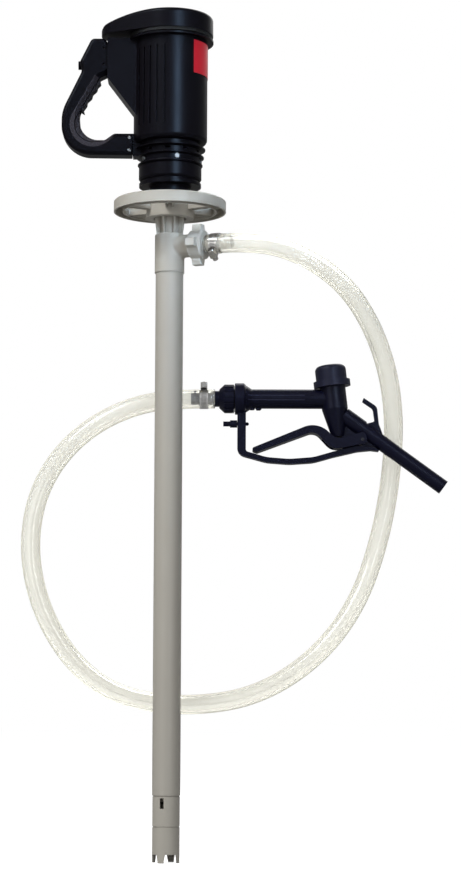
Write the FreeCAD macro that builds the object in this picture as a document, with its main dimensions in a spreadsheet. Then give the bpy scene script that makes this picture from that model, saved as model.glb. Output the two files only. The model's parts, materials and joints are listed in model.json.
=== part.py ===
import FreeCAD, Part

import math
import os
from types import SimpleNamespace

import Sketcher

# Drum pump in millimetres. The origin is on the drum tube's axis where the tube meets the
# discharge head, +Z runs up to the motor, +X to the outlet's side and -Y to the front.

SIZES = {
    # clearances
    "slip": 0.05,
    "gap": 0.3,
    # drum tube and what runs in it
    "tube_r": 20.5,
    "tube_wall": 3.0,
    "tube_length": 768,
    "socket_step": 1.4,
    "socket_depth": 18,
    "bearing_tube_r": 10,
    "bearing_tube_wall": 2,
    "bearing_tube_top": 52,
    "shaft_r": 4,
    "bush_length": 16,
    "bush_pitch": 300,
    # pump housing and foot
    "foot_step": 0.5,
    "housing_length": 44,
    "foot_length": 52,
    "ring_groove": 1.4,
    "ring_groove_depth": 0.9,
    "window_wide": 5.3,
    "window_tall": 15,
    "window_turn": 16,
    "leg_notch": 12,
    "notch_top": 17,
    "notch_bottom": 21.5,
    "spider_wide": 4,
    "spider_tall": 9,
    "impeller_tall": 26,
    "impeller_hub_r": 7,
    # discharge head
    "head_r": 22,
    "head_top": 58,
    "neck_r": 14,
    "neck_top": 87.3,
    "web_low_r": 20,
    "web_high_r": 23.6,
    "web_wide": 2.4,
    "head_flange_r": 31.2,
    "head_flange_top": 95,
    "outlet_rise": 39,
    "outlet_turn": 25,
    "outlet_r": 17,
    "outlet_reach": 37,
    "outlet_thread_r": 15.6,
    "outlet_thread": 10,
    "outlet_bore_r": 10,
    "outlet_blend": 4,
    # wing nut and hose tail
    "seal_thick": 2,
    "nut_r": 22,
    "nut_front": 59,
    "nut_wall": 5.2,
    "wing_r": 30.5,
    "wing_wide": 15,
    "wing_length": 14,
    "tail_flange": 4.6,
    "tail_neck_r": 11,
    "hose_start": 63,
    "barb_end": 103,
    "hose_straight": 75,
    "barb_step": 0.9,
    "tail_bore_r": 6.8,
    # hose and its clamps
    "hose_r": 14.3,
    "hose_wall": 4.8,
    "clamp_wide": 13,
    "clamp_thick": 1,
    "clamp_start": 70,
    "screw_r": 3.2,
    "clamp_screw_length": 22,
    # hand wheel
    "wheel_r": 83.5,
    "wheel_low": 92,
    "wheel_top": 109,
    "rim_wall": 2.6,
    "wheel_plate": 4.5,
    "inner_ring_r": 70.5,
    "rib_wall": 2,
    "hub_r": 35.5,
    "hub_low": 82,
    "hub_floor": 5,
    "spoke_count": 6,
    "spoke_half": 5,
    "spoke_turn": 30,
    # motor collar and neck
    "lip_low": 129.5,
    "lip_top": 134.5,
    "lip_r": 46.2,
    "collar_low": 138.5,
    "collar_shoulder": 141.5,
    "collar_r": 46.7,
    "collar_top": 158,
    "collar_groove_r": 42.8,
    "spigot_r": 31.2,
    "neck_core_r": 44.5,
    "fin_thick": 4.4,
    "fin_edge": 1.4,
    "fin_low": 160.4,
    "fin_pitch": 12,
    "fin_low_r": 48.4,
    "fin_high_r": 52.4,
    "neck_screw_count": 5,
    "neck_turn": -4,
    "vent_count": 10,
    "vent_tall": 3,
    "foot_low": 175,
    "foot_half": 12,
    "foot_face": 57,
    # motor casing
    "casing_low": 195,
    "casing_top": 350,
    "casing_r": 55,
    "casing_wall": 4,
    "casing_floor": 5,
    "casing_corner": 7,
    "flange_over": 9,
    "lip_flange": 3,
    "band_over": 2.5,
    "band_top": 360,
    "groove_count": 5,
    "groove_pitch": 12.3,
    "groove_start": 7.5,
    "groove_wide": 2.6,
    "groove_deep": 2.2,
    "groove_low": 217,
    "groove_top": 335,
    "root_left": 94.3,
    "root_half": 22,
    "label_low": 295,
    "label_high": 345,
    "label_thick": 0.3,
    "label_start": -50.5,
    "label_sweep": 75,
    # motor cover
    "cover_over": 8.5,
    "cover_reach": 104,
    "cover_edge": 388,
    "cover_top": 396.5,
    "cover_wall": 3.5,
    "cover_round": 6,
    "nose_lean": 27,
    "nose_round": 26,
    # handle
    "handle_half": 16.5,
    "handle_round": 6,
    "handle_bevel": 6.5,
    "tongue_half": 5,
    "trigger_half": 9,
    "trigger_deep": 9,
    "trigger_travel": 4,
    "room_low": 3.1,
    "room_high": 10.6,
    "switch_half": 6,
    "handle_screw_r": 1.5,
    "screw_head_r": 2.5,
    "screw_head": 2,
    "screw_sunk": 3.5,
    "gland_r": 6.5,
    "cord_hole_r": 4,
    "gland_out": 138.5,
    "gland_in": 130,
    "gland_z": 316,
    # motor's inner parts
    "motor_shaft_r": 7.5,
    "motor_shaft_low": 124,
    "motor_shaft_top": 349,
    "core_low": 232,
    "core_top": 306,
    "stator_bore_r": 30,
    "air_gap": 0.6,
    "bearing_wide": 12,
    "lower_bearing_r": 20,
    "upper_bearing_r": 17.5,
    "fan_r": 42,
    "fan_low": 205,
    "fan_tall": 16,
    "commutator_r": 14,
    "commutator_low": 310,
    "commutator_tall": 18,
    # nozzle, in its own frame: its axis along +X from the hose end
    "nozzle_x": 45.5,
    "nozzle_y": 62,
    "nozzle_z": -179.7,
    "nozzle_hose_end": 22.5,
    "nozzle_barb": -13.5,
    "swivel_start": 29,
    "swivel_length": 22,
    "swivel_r": 21.6,
    "guard_ring_r": 23.8,
    "guard_ring_start": 52.3,
    "guard_ring_length": 16.5,
    "barrel_r": 14.6,
    "barrel_bore_r": 9,
    "barrel_end": 190,
    "flute_count": 12,
    "flute_r": 1,
    "flute_start": 80,
    "flute_end": 172,
    "valve_x": 201,
    "valve_lean": 6.5,
    "valve_foot_r": 9.8,
    "valve_head_r": 19.5,
    "valve_low": -57,
    "valve_waist": -15,
    "valve_high": 18.5,
    "valve_bore_r": 15.5,
    "cap_flange_r": 27.6,
    "cap_flange": 9.5,
    "cap_r": 23.3,
    "cap_tall": 33,
    "stem_r": 3,
    "stem_reach": 11.7,
    "disc_r": 13,
    "pivot_x": 243.5,
    "pivot_z": -62,
    "pin_r": 2.5,
    "lever_half": 15,
    "lever_slot": 12,
    "spout_r": 11.4,
    "spout_wall": 1.6,
    "spout_drop": 36,
    "spout_root_x": 215.98,
    "spout_root_z": -24.53,
    "spout_length": 184.2,
    "spout_sleeve": 34,
    "sleeve_wall": 1.2,
    "spout_end": 92,
    "spout_step": 0.25,
    "guard_half": 9,
    "latch_z": -37.9,
    "latch_r": 2.6,
}

# The casing's two tongues that the handle's shells close on: low X, low Z, high X, high Z.
TONGUES = [(-106, 308, -90, 346), (-68, 180, -56, 206)]

# The handle's screws, X and Z: the upper two enter from the rear, the lower two from the front.
REAR_SCREWS = [(-100, 339), (-100, 315)]
FRONT_SCREWS = [(-61, 202.5), (-61, 183.5)]

# The hose's route from the outlet to the nozzle, a loop that passes twice behind the tube.
HOSE_ROUTE = [
    (198, -65, 17),
    (259, -44, -23),
    (300, 2, -75),
    (327, 53, -135),
    (339, 92, -199),
    (338, 113, -265),
    (329, 117, -335),
    (312, 108, -406),
    (286, 93, -477),
    (244, 79, -541),
    (187, 68, -592),
    (122, 62, -625),
    (54, 61, -637),
    (-14, 62, -636),
    (-83, 63, -620),
    (-141, 64, -576),
    (-182, 65, -513),
    (-204, 65, -446),
    (-208, 64, -380),
    (-194, 63, -316),
    (-160, 62, -260),
    (-111, 62, -217),
    (-50, 62, -189),
]

doc = FreeCAD.newDocument("drum_pump")
sheet = doc.addObject("Spreadsheet::Sheet", "Sizes")


class Size:
    """A size or a sum of sizes: its expression for the document and its value."""

    def __init__(self, text, value):
        self.text = text
        self.value = value

    def __add__(self, other):
        other = size(other)
        return Size(f"({self.text} + {other.text})", self.value + other.value)

    def __sub__(self, other):
        other = size(other)
        return Size(f"({self.text} - {other.text})", self.value - other.value)

    def __mul__(self, other):
        other = size(other)
        return Size(f"({self.text} * {other.text})", self.value * other.value)

    def __truediv__(self, other):
        other = size(other)
        return Size(f"({self.text} / {other.text})", self.value / other.value)

    def __radd__(self, other):
        return size(other) + self

    def __rsub__(self, other):
        return size(other) - self

    def __rmul__(self, other):
        return size(other) * self

    def __neg__(self):
        return size(0) - self


def size(value):
    return value if isinstance(value, Size) else Size(repr(float(value)), float(value))


def sine(angle):
    angle = size(angle)
    return Size(f"sin({angle.text})", math.sin(math.radians(angle.value)))


def cosine(angle):
    angle = size(angle)
    return Size(f"cos({angle.text})", math.cos(math.radians(angle.value)))


def smaller(first, second):
    first, second = size(first), size(second)
    return Size(f"min({first.text}; {second.text})", min(first.value, second.value))


def fill_sheet():
    names = {}
    for row, (name, value) in enumerate(SIZES.items(), start=1):
        sheet.set(f"A{row}", name)
        sheet.set(f"B{row}", str(value))
        sheet.setAlias(f"B{row}", name)
        names[name] = Size(f"Sizes.{name}", float(value))
    doc.recompute()
    return SimpleNamespace(**names)


s = fill_sheet()
s.cover_r = s.casing_r + s.cover_over
s.band_r = s.casing_r + s.band_over
s.lip_flange_r = s.casing_r + s.flange_over


# Helpers for bodies and sketches

def datum(body, role):
    return next(item for item in body.Origin.OriginFeatures if item.Role == role)


def new_sketch(body, role, rise):
    sketch = body.newObject("Sketcher::SketchObject", body.Name + "_sketch")
    sketch.AttachmentSupport = [(datum(body, role), "")]
    sketch.MapMode = "FlatFace"
    sketch.setExpression("AttachmentOffset.Base.z", size(rise).text)
    return sketch


def tie(sketch, kind, geometry, point, value):
    value = size(value)
    index = sketch.addConstraint(Sketcher.Constraint(kind, -1, 1, geometry, point, value.value))
    sketch.setExpression(f"Constraints[{index}]", value.text)


def outline(body, role, points, rise=0):
    """A closed outline of straight edges, each corner tied to the sketch's origin."""
    sketch = new_sketch(body, role, rise)
    points = [(size(a), size(b)) for a, b in points]
    count = len(points)
    spots = [FreeCAD.Vector(a.value, b.value, 0) for a, b in points]
    edges = [Part.LineSegment(spots[i], spots[(i + 1) % count]) for i in range(count)]
    sketch.addGeometry(edges, False)
    sketch.addConstraint(
        [Sketcher.Constraint("Coincident", i, 2, (i + 1) % count, 1) for i in range(count)]
    )
    for index, (across, up) in enumerate(points):
        tie(sketch, "DistanceX", index, 1, across)
        tie(sketch, "DistanceY", index, 1, up)
    return sketch


def bend(before, here, after, radius):
    """The start, middle and end of the arc of this radius that rounds a corner."""
    into, out = (here - before).normalize(), (after - here).normalize()
    half = into.getAngle(out) / 2
    reach = radius * math.tan(half)
    inward = (out - into).normalize()
    middle = here + inward * radius * (1 / math.cos(half) - 1)
    return here - into * reach, middle, here + out * reach


def smooth_outline(body, role, corners, rise=0):
    """A closed outline with rounded corners, each given as (across, up, radius), 0 for sharp."""
    sketch = new_sketch(body, role, rise)
    count = len(corners)
    spots = [FreeCAD.Vector(across, up, 0) for across, up, radius in corners]
    bends = [
        bend(spots[i - 1], spots[i], spots[(i + 1) % count], corners[i][2]) for i in range(count)
    ]
    edges = []
    for index in range(count):
        after = (index + 1) % count
        edges.append(Part.LineSegment(bends[index][2], bends[after][0]))
        if corners[after][2]:
            edges.append(Part.Arc(*bends[after]))
    held = sketch.addGeometry(edges, False)
    sketch.addConstraint([Sketcher.Constraint("Block", index) for index in held])
    return sketch


def circles(body, role, rounds, rise=0):
    """Circles given as (across, up, radius)."""
    sketch = new_sketch(body, role, rise)
    for index, (across, up, radius) in enumerate(rounds):
        across, up, radius = size(across), size(up), size(radius)
        centre = FreeCAD.Vector(across.value, up.value, 0)
        normal = FreeCAD.Vector(0, 0, 1)
        sketch.addGeometry(Part.Circle(centre, normal, radius.value), False)
        tie(sketch, "DistanceX", index, 3, across)
        tie(sketch, "DistanceY", index, 3, up)
        held = sketch.addConstraint(Sketcher.Constraint("Radius", index, radius.value))
        sketch.setExpression(f"Constraints[{held}]", radius.text)
    return sketch


def new_body(name):
    return doc.addObject("PartDesign::Body", name)


def turn(body, points, axis="V_Axis", kind="PartDesign::Revolution"):
    """A turned feature from an outline in the XZ plane, about Z or with H_Axis about X."""
    sketch = outline(body, "XZ_Plane", points)
    feature = body.newObject(kind, body.Name + "_turn")
    feature.Profile = sketch
    feature.ReferenceAxis = (sketch, [axis])
    feature.Angle = 360
    return feature


def groove(body, points, axis="V_Axis"):
    return turn(body, points, axis, "PartDesign::Groove")


def pad(body, sketch, length, midplane=False, backwards=False):
    feature = body.newObject("PartDesign::Pad", body.Name + "_pad")
    feature.Profile = sketch
    feature.Midplane = midplane
    feature.Reversed = backwards
    feature.setExpression("Length", size(length).text)
    return feature


def pocket(body, sketch, length, midplane=False, backwards=False):
    feature = body.newObject("PartDesign::Pocket", body.Name + "_pocket")
    feature.Profile = sketch
    feature.Midplane = midplane
    feature.Reversed = backwards
    feature.setExpression("Length", size(length).text)
    return feature


def around(body, features, count, role="Z_Axis", angle=360):
    """A polar pattern about one of the body's own axes."""
    pattern = body.newObject("PartDesign::PolarPattern", body.Name + "_pattern")
    pattern.Originals = features
    pattern.Axis = (datum(body, role), [""])
    pattern.setExpression("Angle", size(angle).text)
    pattern.setExpression("Occurrences", size(count).text)
    body.Tip = pattern
    return pattern


def soften(body, radius, pick, kind="PartDesign::Fillet"):
    """Rounds or bevels the edges that pick accepts."""
    doc.recompute()
    names = [f"Edge{i + 1}" for i, edge in enumerate(body.Shape.Edges) if pick(edge)]
    feature = body.newObject(kind, body.Name + "_soft")
    feature.Base = (body.Tip if body.Tip != feature else feature.BaseFeature, names)
    target = "Radius" if kind.endswith("Fillet") else "Size"
    feature.setExpression(target, size(radius).text)
    body.Tip = feature
    doc.recompute()
    return feature


def level_ring(radius, height, slack=0.6):
    """Accepts round edges about Z with this radius at this height."""
    radius, height = size(radius).value, size(height).value

    def pick(edge):
        curve = edge.Curve
        if not isinstance(curve, Part.Circle):
            return False
        return abs(curve.Radius - radius) < slack and abs(curve.Center.z - height) < slack

    return pick


# Helpers for primitives

def spot(x=0, y=0, z=0, axis=(0, 0, 1), turn=0):
    x, y, z, turn = size(x), size(y), size(z), size(turn)
    along = "; ".join(size(part).text for part in axis)
    return (
        f"placement(vector({x.text}; {y.text}; {z.text}); "
        f"rotation(vector({along}); {turn.text}))"
    )


def cylinder(name, radius, height, place):
    item = doc.addObject("Part::Cylinder", name)
    item.setExpression("Radius", size(radius).text)
    item.setExpression("Height", size(height).text)
    item.setExpression("Placement", place)
    return item


def cone(name, low_radius, high_radius, height, place):
    item = doc.addObject("Part::Cone", name)
    item.setExpression("Radius1", size(low_radius).text)
    item.setExpression("Radius2", size(high_radius).text)
    item.setExpression("Height", size(height).text)
    item.setExpression("Placement", place)
    return item


def box(name, length, width, height, place):
    item = doc.addObject("Part::Box", name)
    item.setExpression("Length", size(length).text)
    item.setExpression("Width", size(width).text)
    item.setExpression("Height", size(height).text)
    item.setExpression("Placement", place)
    return item


def fuse(name, items):
    item = doc.addObject("Part::MultiFuse", name)
    item.Shapes = items
    item.Refine = True
    return item


def cut(name, base, tools):
    item = doc.addObject("Part::Cut", name)
    item.Base = base
    item.Tool = tools[0] if len(tools) == 1 else fuse(name + "_tools", tools)
    item.Refine = True
    return item


def group(name, items):
    item = doc.addObject("Part::Compound", name)
    item.Links = items
    return item


def rotated(radius, angle):
    """The point at this radius and angle from +X about Z."""
    return radius * cosine(angle), radius * sine(angle)


# Drum tube and what runs in it

def outer_tube():
    body = new_body("outer_tube")
    bore = s.tube_r - s.tube_wall
    spigot = s.tube_r - s.socket_step
    turn(body, [
        (bore, -s.tube_length), (s.tube_r, -s.tube_length), (s.tube_r, 0),
        (spigot, 0), (spigot, s.socket_depth), (bore, s.socket_depth),
    ])


def bearing_tube():
    body = new_body("bearing_tube")
    inside = s.bearing_tube_r - s.bearing_tube_wall
    low = -s.tube_length - s.spider_tall
    turn(body, [
        (inside, low), (s.bearing_tube_r, low),
        (s.bearing_tube_r, s.bearing_tube_top), (inside, s.bearing_tube_top),
    ])


def pump_shaft():
    low = -s.tube_length - s.housing_length - s.foot_length / 2
    cylinder("pump_shaft", s.shaft_r, s.head_flange_top + 8 - low, spot(z=low))


def shaft_bushes():
    outside = s.bearing_tube_r - s.bearing_tube_wall - s.slip
    rings = []
    for index in range(3):
        low = -s.bush_pitch * index - s.bush_length * 5
        ring = cylinder(f"bush_ring_{index}", outside, s.bush_length, spot(z=low))
        bore = cylinder(f"bush_bore_{index}", s.shaft_r + s.slip, s.bush_length + 2, spot(z=low - 1))
        rings.append(cut(f"bush_{index}", ring, [bore]))
    group("shaft_bushes", rings)


def shaft_seal():
    body = new_body("shaft_seal")
    low = s.bearing_tube_top + s.gap
    top = low + 9
    lip = s.shaft_r + s.slip
    turn(body, [
        (lip, low + 3), (lip + 1.2, low + 3), (lip + 1.2, low), (s.shaft_r + 3.4, low),
        (s.shaft_r + 3.4, top), (lip, top),
    ])


def pump_housing():
    body = new_body("pump_housing")
    outside = s.tube_r - s.foot_step
    inside = s.tube_r - s.tube_wall
    top = -s.tube_length
    low = top - s.housing_length
    turn(body, [
        (inside, low), (outside, low), (outside, top - s.ring_groove),
        (outside - s.ring_groove_depth, top - s.ring_groove),
        (outside - s.ring_groove_depth, top), (inside, top),
    ])
    hub = s.bearing_tube_r + 2
    turn(body, [
        (s.bearing_tube_r + s.slip, top - s.spider_tall), (hub, top - s.spider_tall),
        (hub, top), (s.bearing_tube_r + s.slip, top),
    ])
    arm = pad(
        body,
        outline(body, "XY_Plane", [
            (hub - 1, -s.spider_wide / 2), (inside + 1, -s.spider_wide / 2),
            (inside + 1, s.spider_wide / 2), (hub - 1, s.spider_wide / 2),
        ], top - s.spider_tall),
        s.spider_tall,
    )
    around(body, [arm], 3)
    window_low = top - s.ring_groove - 2 - s.window_tall
    middle = -s.tube_r * sine(s.window_turn)
    pocket(
        body,
        outline(body, "XZ_Plane", [
            (middle - s.window_wide / 2, window_low), (middle + s.window_wide / 2, window_low),
            (middle + s.window_wide / 2, window_low + s.window_tall),
            (middle - s.window_wide / 2, window_low + s.window_tall),
        ]),
        s.tube_r + 5,
        backwards=True,
    )


def impeller():
    body = new_body("impeller")
    top = -s.tube_length - s.spider_tall - 4
    low = top - s.impeller_tall
    blade_r = s.tube_r - s.tube_wall - 0.8
    bore = s.shaft_r + s.slip
    turn(body, [
        (bore, low), (s.impeller_hub_r - 2, low), (s.impeller_hub_r, low + 6),
        (s.impeller_hub_r, top), (bore, top),
    ])
    rise = s.impeller_tall * 0.7
    blade = pad(
        body,
        outline(body, "YZ_Plane", [
            (-7, low + 2), (-5, low + 2), (7, low + 2 + rise), (5, low + 2 + rise),
        ], s.impeller_hub_r - 1.5),
        blade_r - s.impeller_hub_r,
    )
    around(body, [blade], 4)


def foot_cage():
    body = new_body("foot_cage")
    outside = s.tube_r - s.foot_step
    inside = s.tube_r - s.tube_wall
    top = -s.tube_length - s.housing_length
    low = top - s.foot_length
    turn(body, [
        (inside, low), (outside, low), (outside, top - s.ring_groove),
        (outside - s.ring_groove_depth, top - s.ring_groove),
        (outside - s.ring_groove_depth, top), (inside, top),
    ])
    hub = s.shaft_r + 4
    hub_low = top - s.foot_length / 2 - 3
    turn(body, [
        (0, hub_low), (hub, hub_low), (hub, hub_low + s.spider_tall),
        (s.shaft_r + s.slip, hub_low + s.spider_tall), (s.shaft_r + s.slip, hub_low + 2.7),
        (0, hub_low + 2.7),
    ])
    arm = pad(
        body,
        outline(body, "XY_Plane", [
            (hub - 1, -s.spider_wide / 2), (inside + 1, -s.spider_wide / 2),
            (inside + 1, s.spider_wide / 2), (hub - 1, s.spider_wide / 2),
        ], hub_low),
        s.spider_tall,
    )
    around(body, [arm], 3)
    half_top, half_low = s.notch_top / 2, s.notch_bottom / 2
    for role in ("XZ_Plane", "YZ_Plane"):
        pocket(
            body,
            outline(body, role, [
                (-half_low, low - 1), (half_low, low - 1),
                (half_top, low + s.leg_notch), (-half_top, low + s.leg_notch),
            ]),
            s.tube_r * 3,
            midplane=True,
        )
    body.setExpression("Placement", spot(turn=24))


# Discharge head, hand wheel and outlet

def discharge_head():
    body = new_body("discharge_head")
    turn(body, [
        (0, 0), (s.head_r, 0), (s.head_r, s.head_top), (s.neck_r, s.head_top),
        (s.neck_r, s.neck_top), (s.head_flange_r, s.neck_top),
        (s.head_flange_r, s.head_flange_top), (0, s.head_flange_top),
    ])
    soften(body, 2, level_ring(s.head_r, s.head_top))
    boss = circles(body, "YZ_Plane", [(0, s.outlet_rise, s.outlet_r)], 10)
    pad(body, boss, s.outlet_reach - 10)
    soften(body, s.outlet_blend, lambda edge: (
        not isinstance(edge.Curve, (Part.Circle, Part.Line)) and edge.CenterOfMass.x > 5))
    thread = circles(body, "YZ_Plane", [(0, s.outlet_rise, s.outlet_thread_r)], 10)
    pad(body, thread, s.outlet_reach + s.outlet_thread - 10)
    web = pad(
        body,
        outline(body, "XZ_Plane", [
            (s.neck_r - 1, s.head_top - 1), (s.web_low_r, s.head_top - 1),
            (s.web_high_r, s.neck_top), (s.neck_r - 1, s.neck_top),
        ]),
        s.web_wide,
        midplane=True,
    )
    around(body, [web], 8)
    socket = s.tube_r - s.socket_step + s.slip
    inside = s.tube_r - s.tube_wall
    seat = s.bearing_tube_r + s.slip
    seal = s.shaft_r + 3.4 + s.slip
    groove(body, [
        (0, -1), (socket, -1), (socket, s.socket_depth + s.slip), (inside, s.socket_depth + s.slip),
        (inside, s.head_top - 8), (seat, s.head_top - 8), (seat, s.bearing_tube_top + s.slip),
        (seal, s.bearing_tube_top + s.slip), (seal, s.bearing_tube_top + 9.6),
        (s.shaft_r + s.gap, s.bearing_tube_top + 9.6), (s.shaft_r + s.gap, 78),
        (11.5, 78), (11.5, s.head_flange_top + 1), (0, s.head_flange_top + 1),
    ])
    port = circles(body, "YZ_Plane", [(0, s.outlet_rise, s.outlet_bore_r)], 12)
    pocket(body, port, s.outlet_reach + s.outlet_thread, backwards=True)
    body.setExpression("Placement", spot(turn=-s.outlet_turn))


def outlet_spot():
    """The outlet's frame: local Z out along the outlet, local X down."""
    return (
        f"placement(vector(0; 0; {s.outlet_rise.text}); "
        f"rotation({(-s.outlet_turn).text}; 90; 0))"
    )


def outlet_seal():
    body = new_body("outlet_seal")
    low = s.outlet_reach + s.outlet_thread
    turn(body, [
        (s.outlet_bore_r + 0.5, low), (s.outlet_thread_r - 0.4, low),
        (s.outlet_thread_r - 0.4, low + s.seal_thick), (s.outlet_bore_r + 0.5, low + s.seal_thick),
    ])
    body.setExpression("Placement", outlet_spot())


def barbs(start, end, root, count):
    """The sawtooth outside of a hose tail, from its free end back to the neck."""
    pitch = (end - start) / count
    points = []
    for index in range(count):
        tip = end - pitch * index
        points.append((root, tip))
        points.append((root + s.barb_step, tip - pitch * 0.8))
    return points


def outlet_hose_tail():
    body = new_body("outlet_hose_tail")
    low = s.outlet_reach + s.outlet_thread + s.seal_thick
    flange = low + s.tail_flange
    root = s.hose_r - s.hose_wall - s.slip - s.barb_step
    turn(body, [
        (s.tail_bore_r, low), (s.outlet_thread_r - 0.2, low), (s.outlet_thread_r - 0.2, flange),
        (s.tail_neck_r, flange), (s.tail_neck_r, s.hose_start), (root, s.hose_start),
        *reversed(barbs(s.hose_start + 1, s.barb_end, root, 4)), (s.tail_bore_r, s.barb_end),
    ])
    body.setExpression("Placement", outlet_spot())


def wing_nut():
    body = new_body("wing_nut")
    low = s.outlet_reach + s.gap
    thread = s.outlet_thread_r + s.gap
    turn(body, [
        (thread, low), (s.nut_r - 1.5, low), (s.nut_r, low + 1.5), (s.nut_r, s.nut_front - 2),
        (s.nut_r - 2, s.nut_front), (s.tail_neck_r + s.gap, s.nut_front),
        (s.tail_neck_r + s.gap, s.nut_front - s.nut_wall), (thread, s.nut_front - s.nut_wall),
    ])
    wing_low = low + 3
    wing = pad(
        body,
        outline(body, "XY_Plane", [
            (s.nut_r - 3, -s.wing_wide / 2), (s.nut_r + 2, -s.wing_wide / 2),
            (s.wing_r, 2 - s.wing_wide / 2), (s.wing_r, s.wing_wide / 2 - 2),
            (s.nut_r + 2, s.wing_wide / 2), (s.nut_r - 3, s.wing_wide / 2),
        ], wing_low),
        s.wing_length,
    )
    around(body, [wing], 4)
    body.setExpression("Placement", outlet_spot())


def clamp(prefix, frame, turned):
    """A worm clamp round the hose: band, screw housing and screw."""
    inside = s.hose_r + s.slip
    outside = inside + s.clamp_thick
    band = new_body(prefix + "_clamp_band")
    turn(band, [(inside, 0), (outside, 0), (outside, s.clamp_wide), (inside, s.clamp_wide)])
    band.setExpression("Placement", frame)
    wide = s.clamp_wide - 3
    block = box(
        prefix + "_block", 9, 15, wide, turned(outside + s.slip, -7.5, 1.5))
    hole_x = outside + s.slip + 4.8
    hole = cylinder(
        prefix + "_hole", s.screw_r + s.slip, 30, turned(hole_x, -15, s.clamp_wide / 2, True))
    cut(prefix + "_clamp_housing", block, [hole])
    shank = cylinder(
        prefix + "_shank", s.screw_r, s.clamp_screw_length - 4,
        turned(hole_x, 9 - s.clamp_screw_length + 4, s.clamp_wide / 2, True))
    head = cylinder(prefix + "_head", s.screw_r + 1, 4, turned(hole_x, 8.5, s.clamp_wide / 2, True))
    fuse(prefix + "_clamp_screw", [shank, head])


def outlet_clamp():
    """The clamp on the outlet, its screw below the hose."""
    reach = s.clamp_start
    frame = (
        f"placement(vector(0; 0; {s.outlet_rise.text}); rotation({(-s.outlet_turn).text}; 90; 0))"
        f" * placement(vector(0; 0; {reach.text}); rotation(vector(0; 0; 1); 0 - 35))"
    )

    def turned(x, y, z, tangent=False):
        roll = "rotation(vector(1; 0; 0); 0 - 90)" if tangent else "rotation(vector(0; 0; 1); 0)"
        x, y, z = size(x), size(y), size(z)
        return f"{frame} * placement(vector({x.text}; {y.text}; {z.text}); {roll})"

    clamp("outlet", frame, turned)


def nozzle_clamp():
    """The clamp at the nozzle, its screw on top of the hose."""
    reach = s.nozzle_x - 0.6
    frame = (
        f"placement(vector({reach.text}; {s.nozzle_y.text}; {s.nozzle_z.text}); "
        f"rotation(0; 90; 0)) * placement(vector(0; 0; 0); rotation(vector(0; 0; 1); 180))"
    )

    def turned(x, y, z, tangent=False):
        roll = "rotation(vector(1; 0; 0); 0 - 90)" if tangent else "rotation(vector(0; 0; 1); 0)"
        x, y, z = size(x), size(y), size(z)
        return f"{frame} * placement(vector({x.text}; {y.text}; {z.text}); {roll})"

    clamp("nozzle", frame, turned)


def hand_wheel():
    """An open wheel: a hollow rim, an inner ring, spokes with two ribs each and a cupped hub."""
    body = new_body("hand_wheel")
    cavity = s.head_flange_r + s.gap + 0.1
    throat = s.web_high_r + s.gap + 0.4
    plate = s.wheel_top - s.wheel_plate
    ring_in = s.inner_ring_r - s.rib_wall
    turn(body, [
        (ring_in, s.wheel_low), (s.inner_ring_r, s.wheel_low), (s.inner_ring_r, plate),
        (s.wheel_r - s.rim_wall, plate), (s.wheel_r - s.rim_wall, s.wheel_low),
        (s.wheel_r, s.wheel_low), (s.wheel_r, s.wheel_top - 2), (s.wheel_r - 2, s.wheel_top),
        (ring_in, s.wheel_top),
    ])
    near, far = s.hub_r - 1, s.inner_ring_r - s.rib_wall / 2
    strips = [(-s.spoke_half, s.spoke_half, plate, s.wheel_plate)]
    for side in (-1, 1):
        middle = s.spoke_half * side
        strips.append((middle - s.rib_wall / 2, middle + s.rib_wall / 2, s.wheel_low + 1,
                       s.wheel_top - s.wheel_low - 1))
    for low_side, high_side, low, tall in strips:
        strip = pad(
            body,
            outline(body, "XY_Plane", [
                (near, low_side), (far, low_side), (far, high_side), (near, high_side),
            ], low),
            tall,
        )
        around(body, [strip], s.spoke_count)
    turn(body, [
        (cavity, s.hub_low + s.hub_floor), (throat, s.hub_low + s.hub_floor), (throat, s.hub_low),
        (s.hub_r, s.hub_low), (s.hub_r, s.wheel_top), (cavity, s.wheel_top),
    ])
    body.setExpression("Placement", spot(turn=s.spoke_turn))


# Motor

def lower_collar():
    body = new_body("lower_collar")
    low = s.head_flange_top + s.gap
    seat = s.lower_bearing_r + s.slip
    seat_low = s.collar_top - s.bearing_wide
    turn(body, [
        (s.collar_r - 29, low), (s.spigot_r, low), (s.spigot_r, s.lip_low), (s.lip_r, s.lip_low),
        (s.lip_r, s.lip_top), (s.collar_groove_r, s.lip_top), (s.collar_groove_r, s.collar_low),
        (s.collar_r - 2, s.collar_low), (s.collar_r, s.collar_shoulder), (s.collar_r, s.collar_top),
        (seat, s.collar_top), (seat, seat_low), (s.collar_r - 29, seat_low),
    ])


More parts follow.
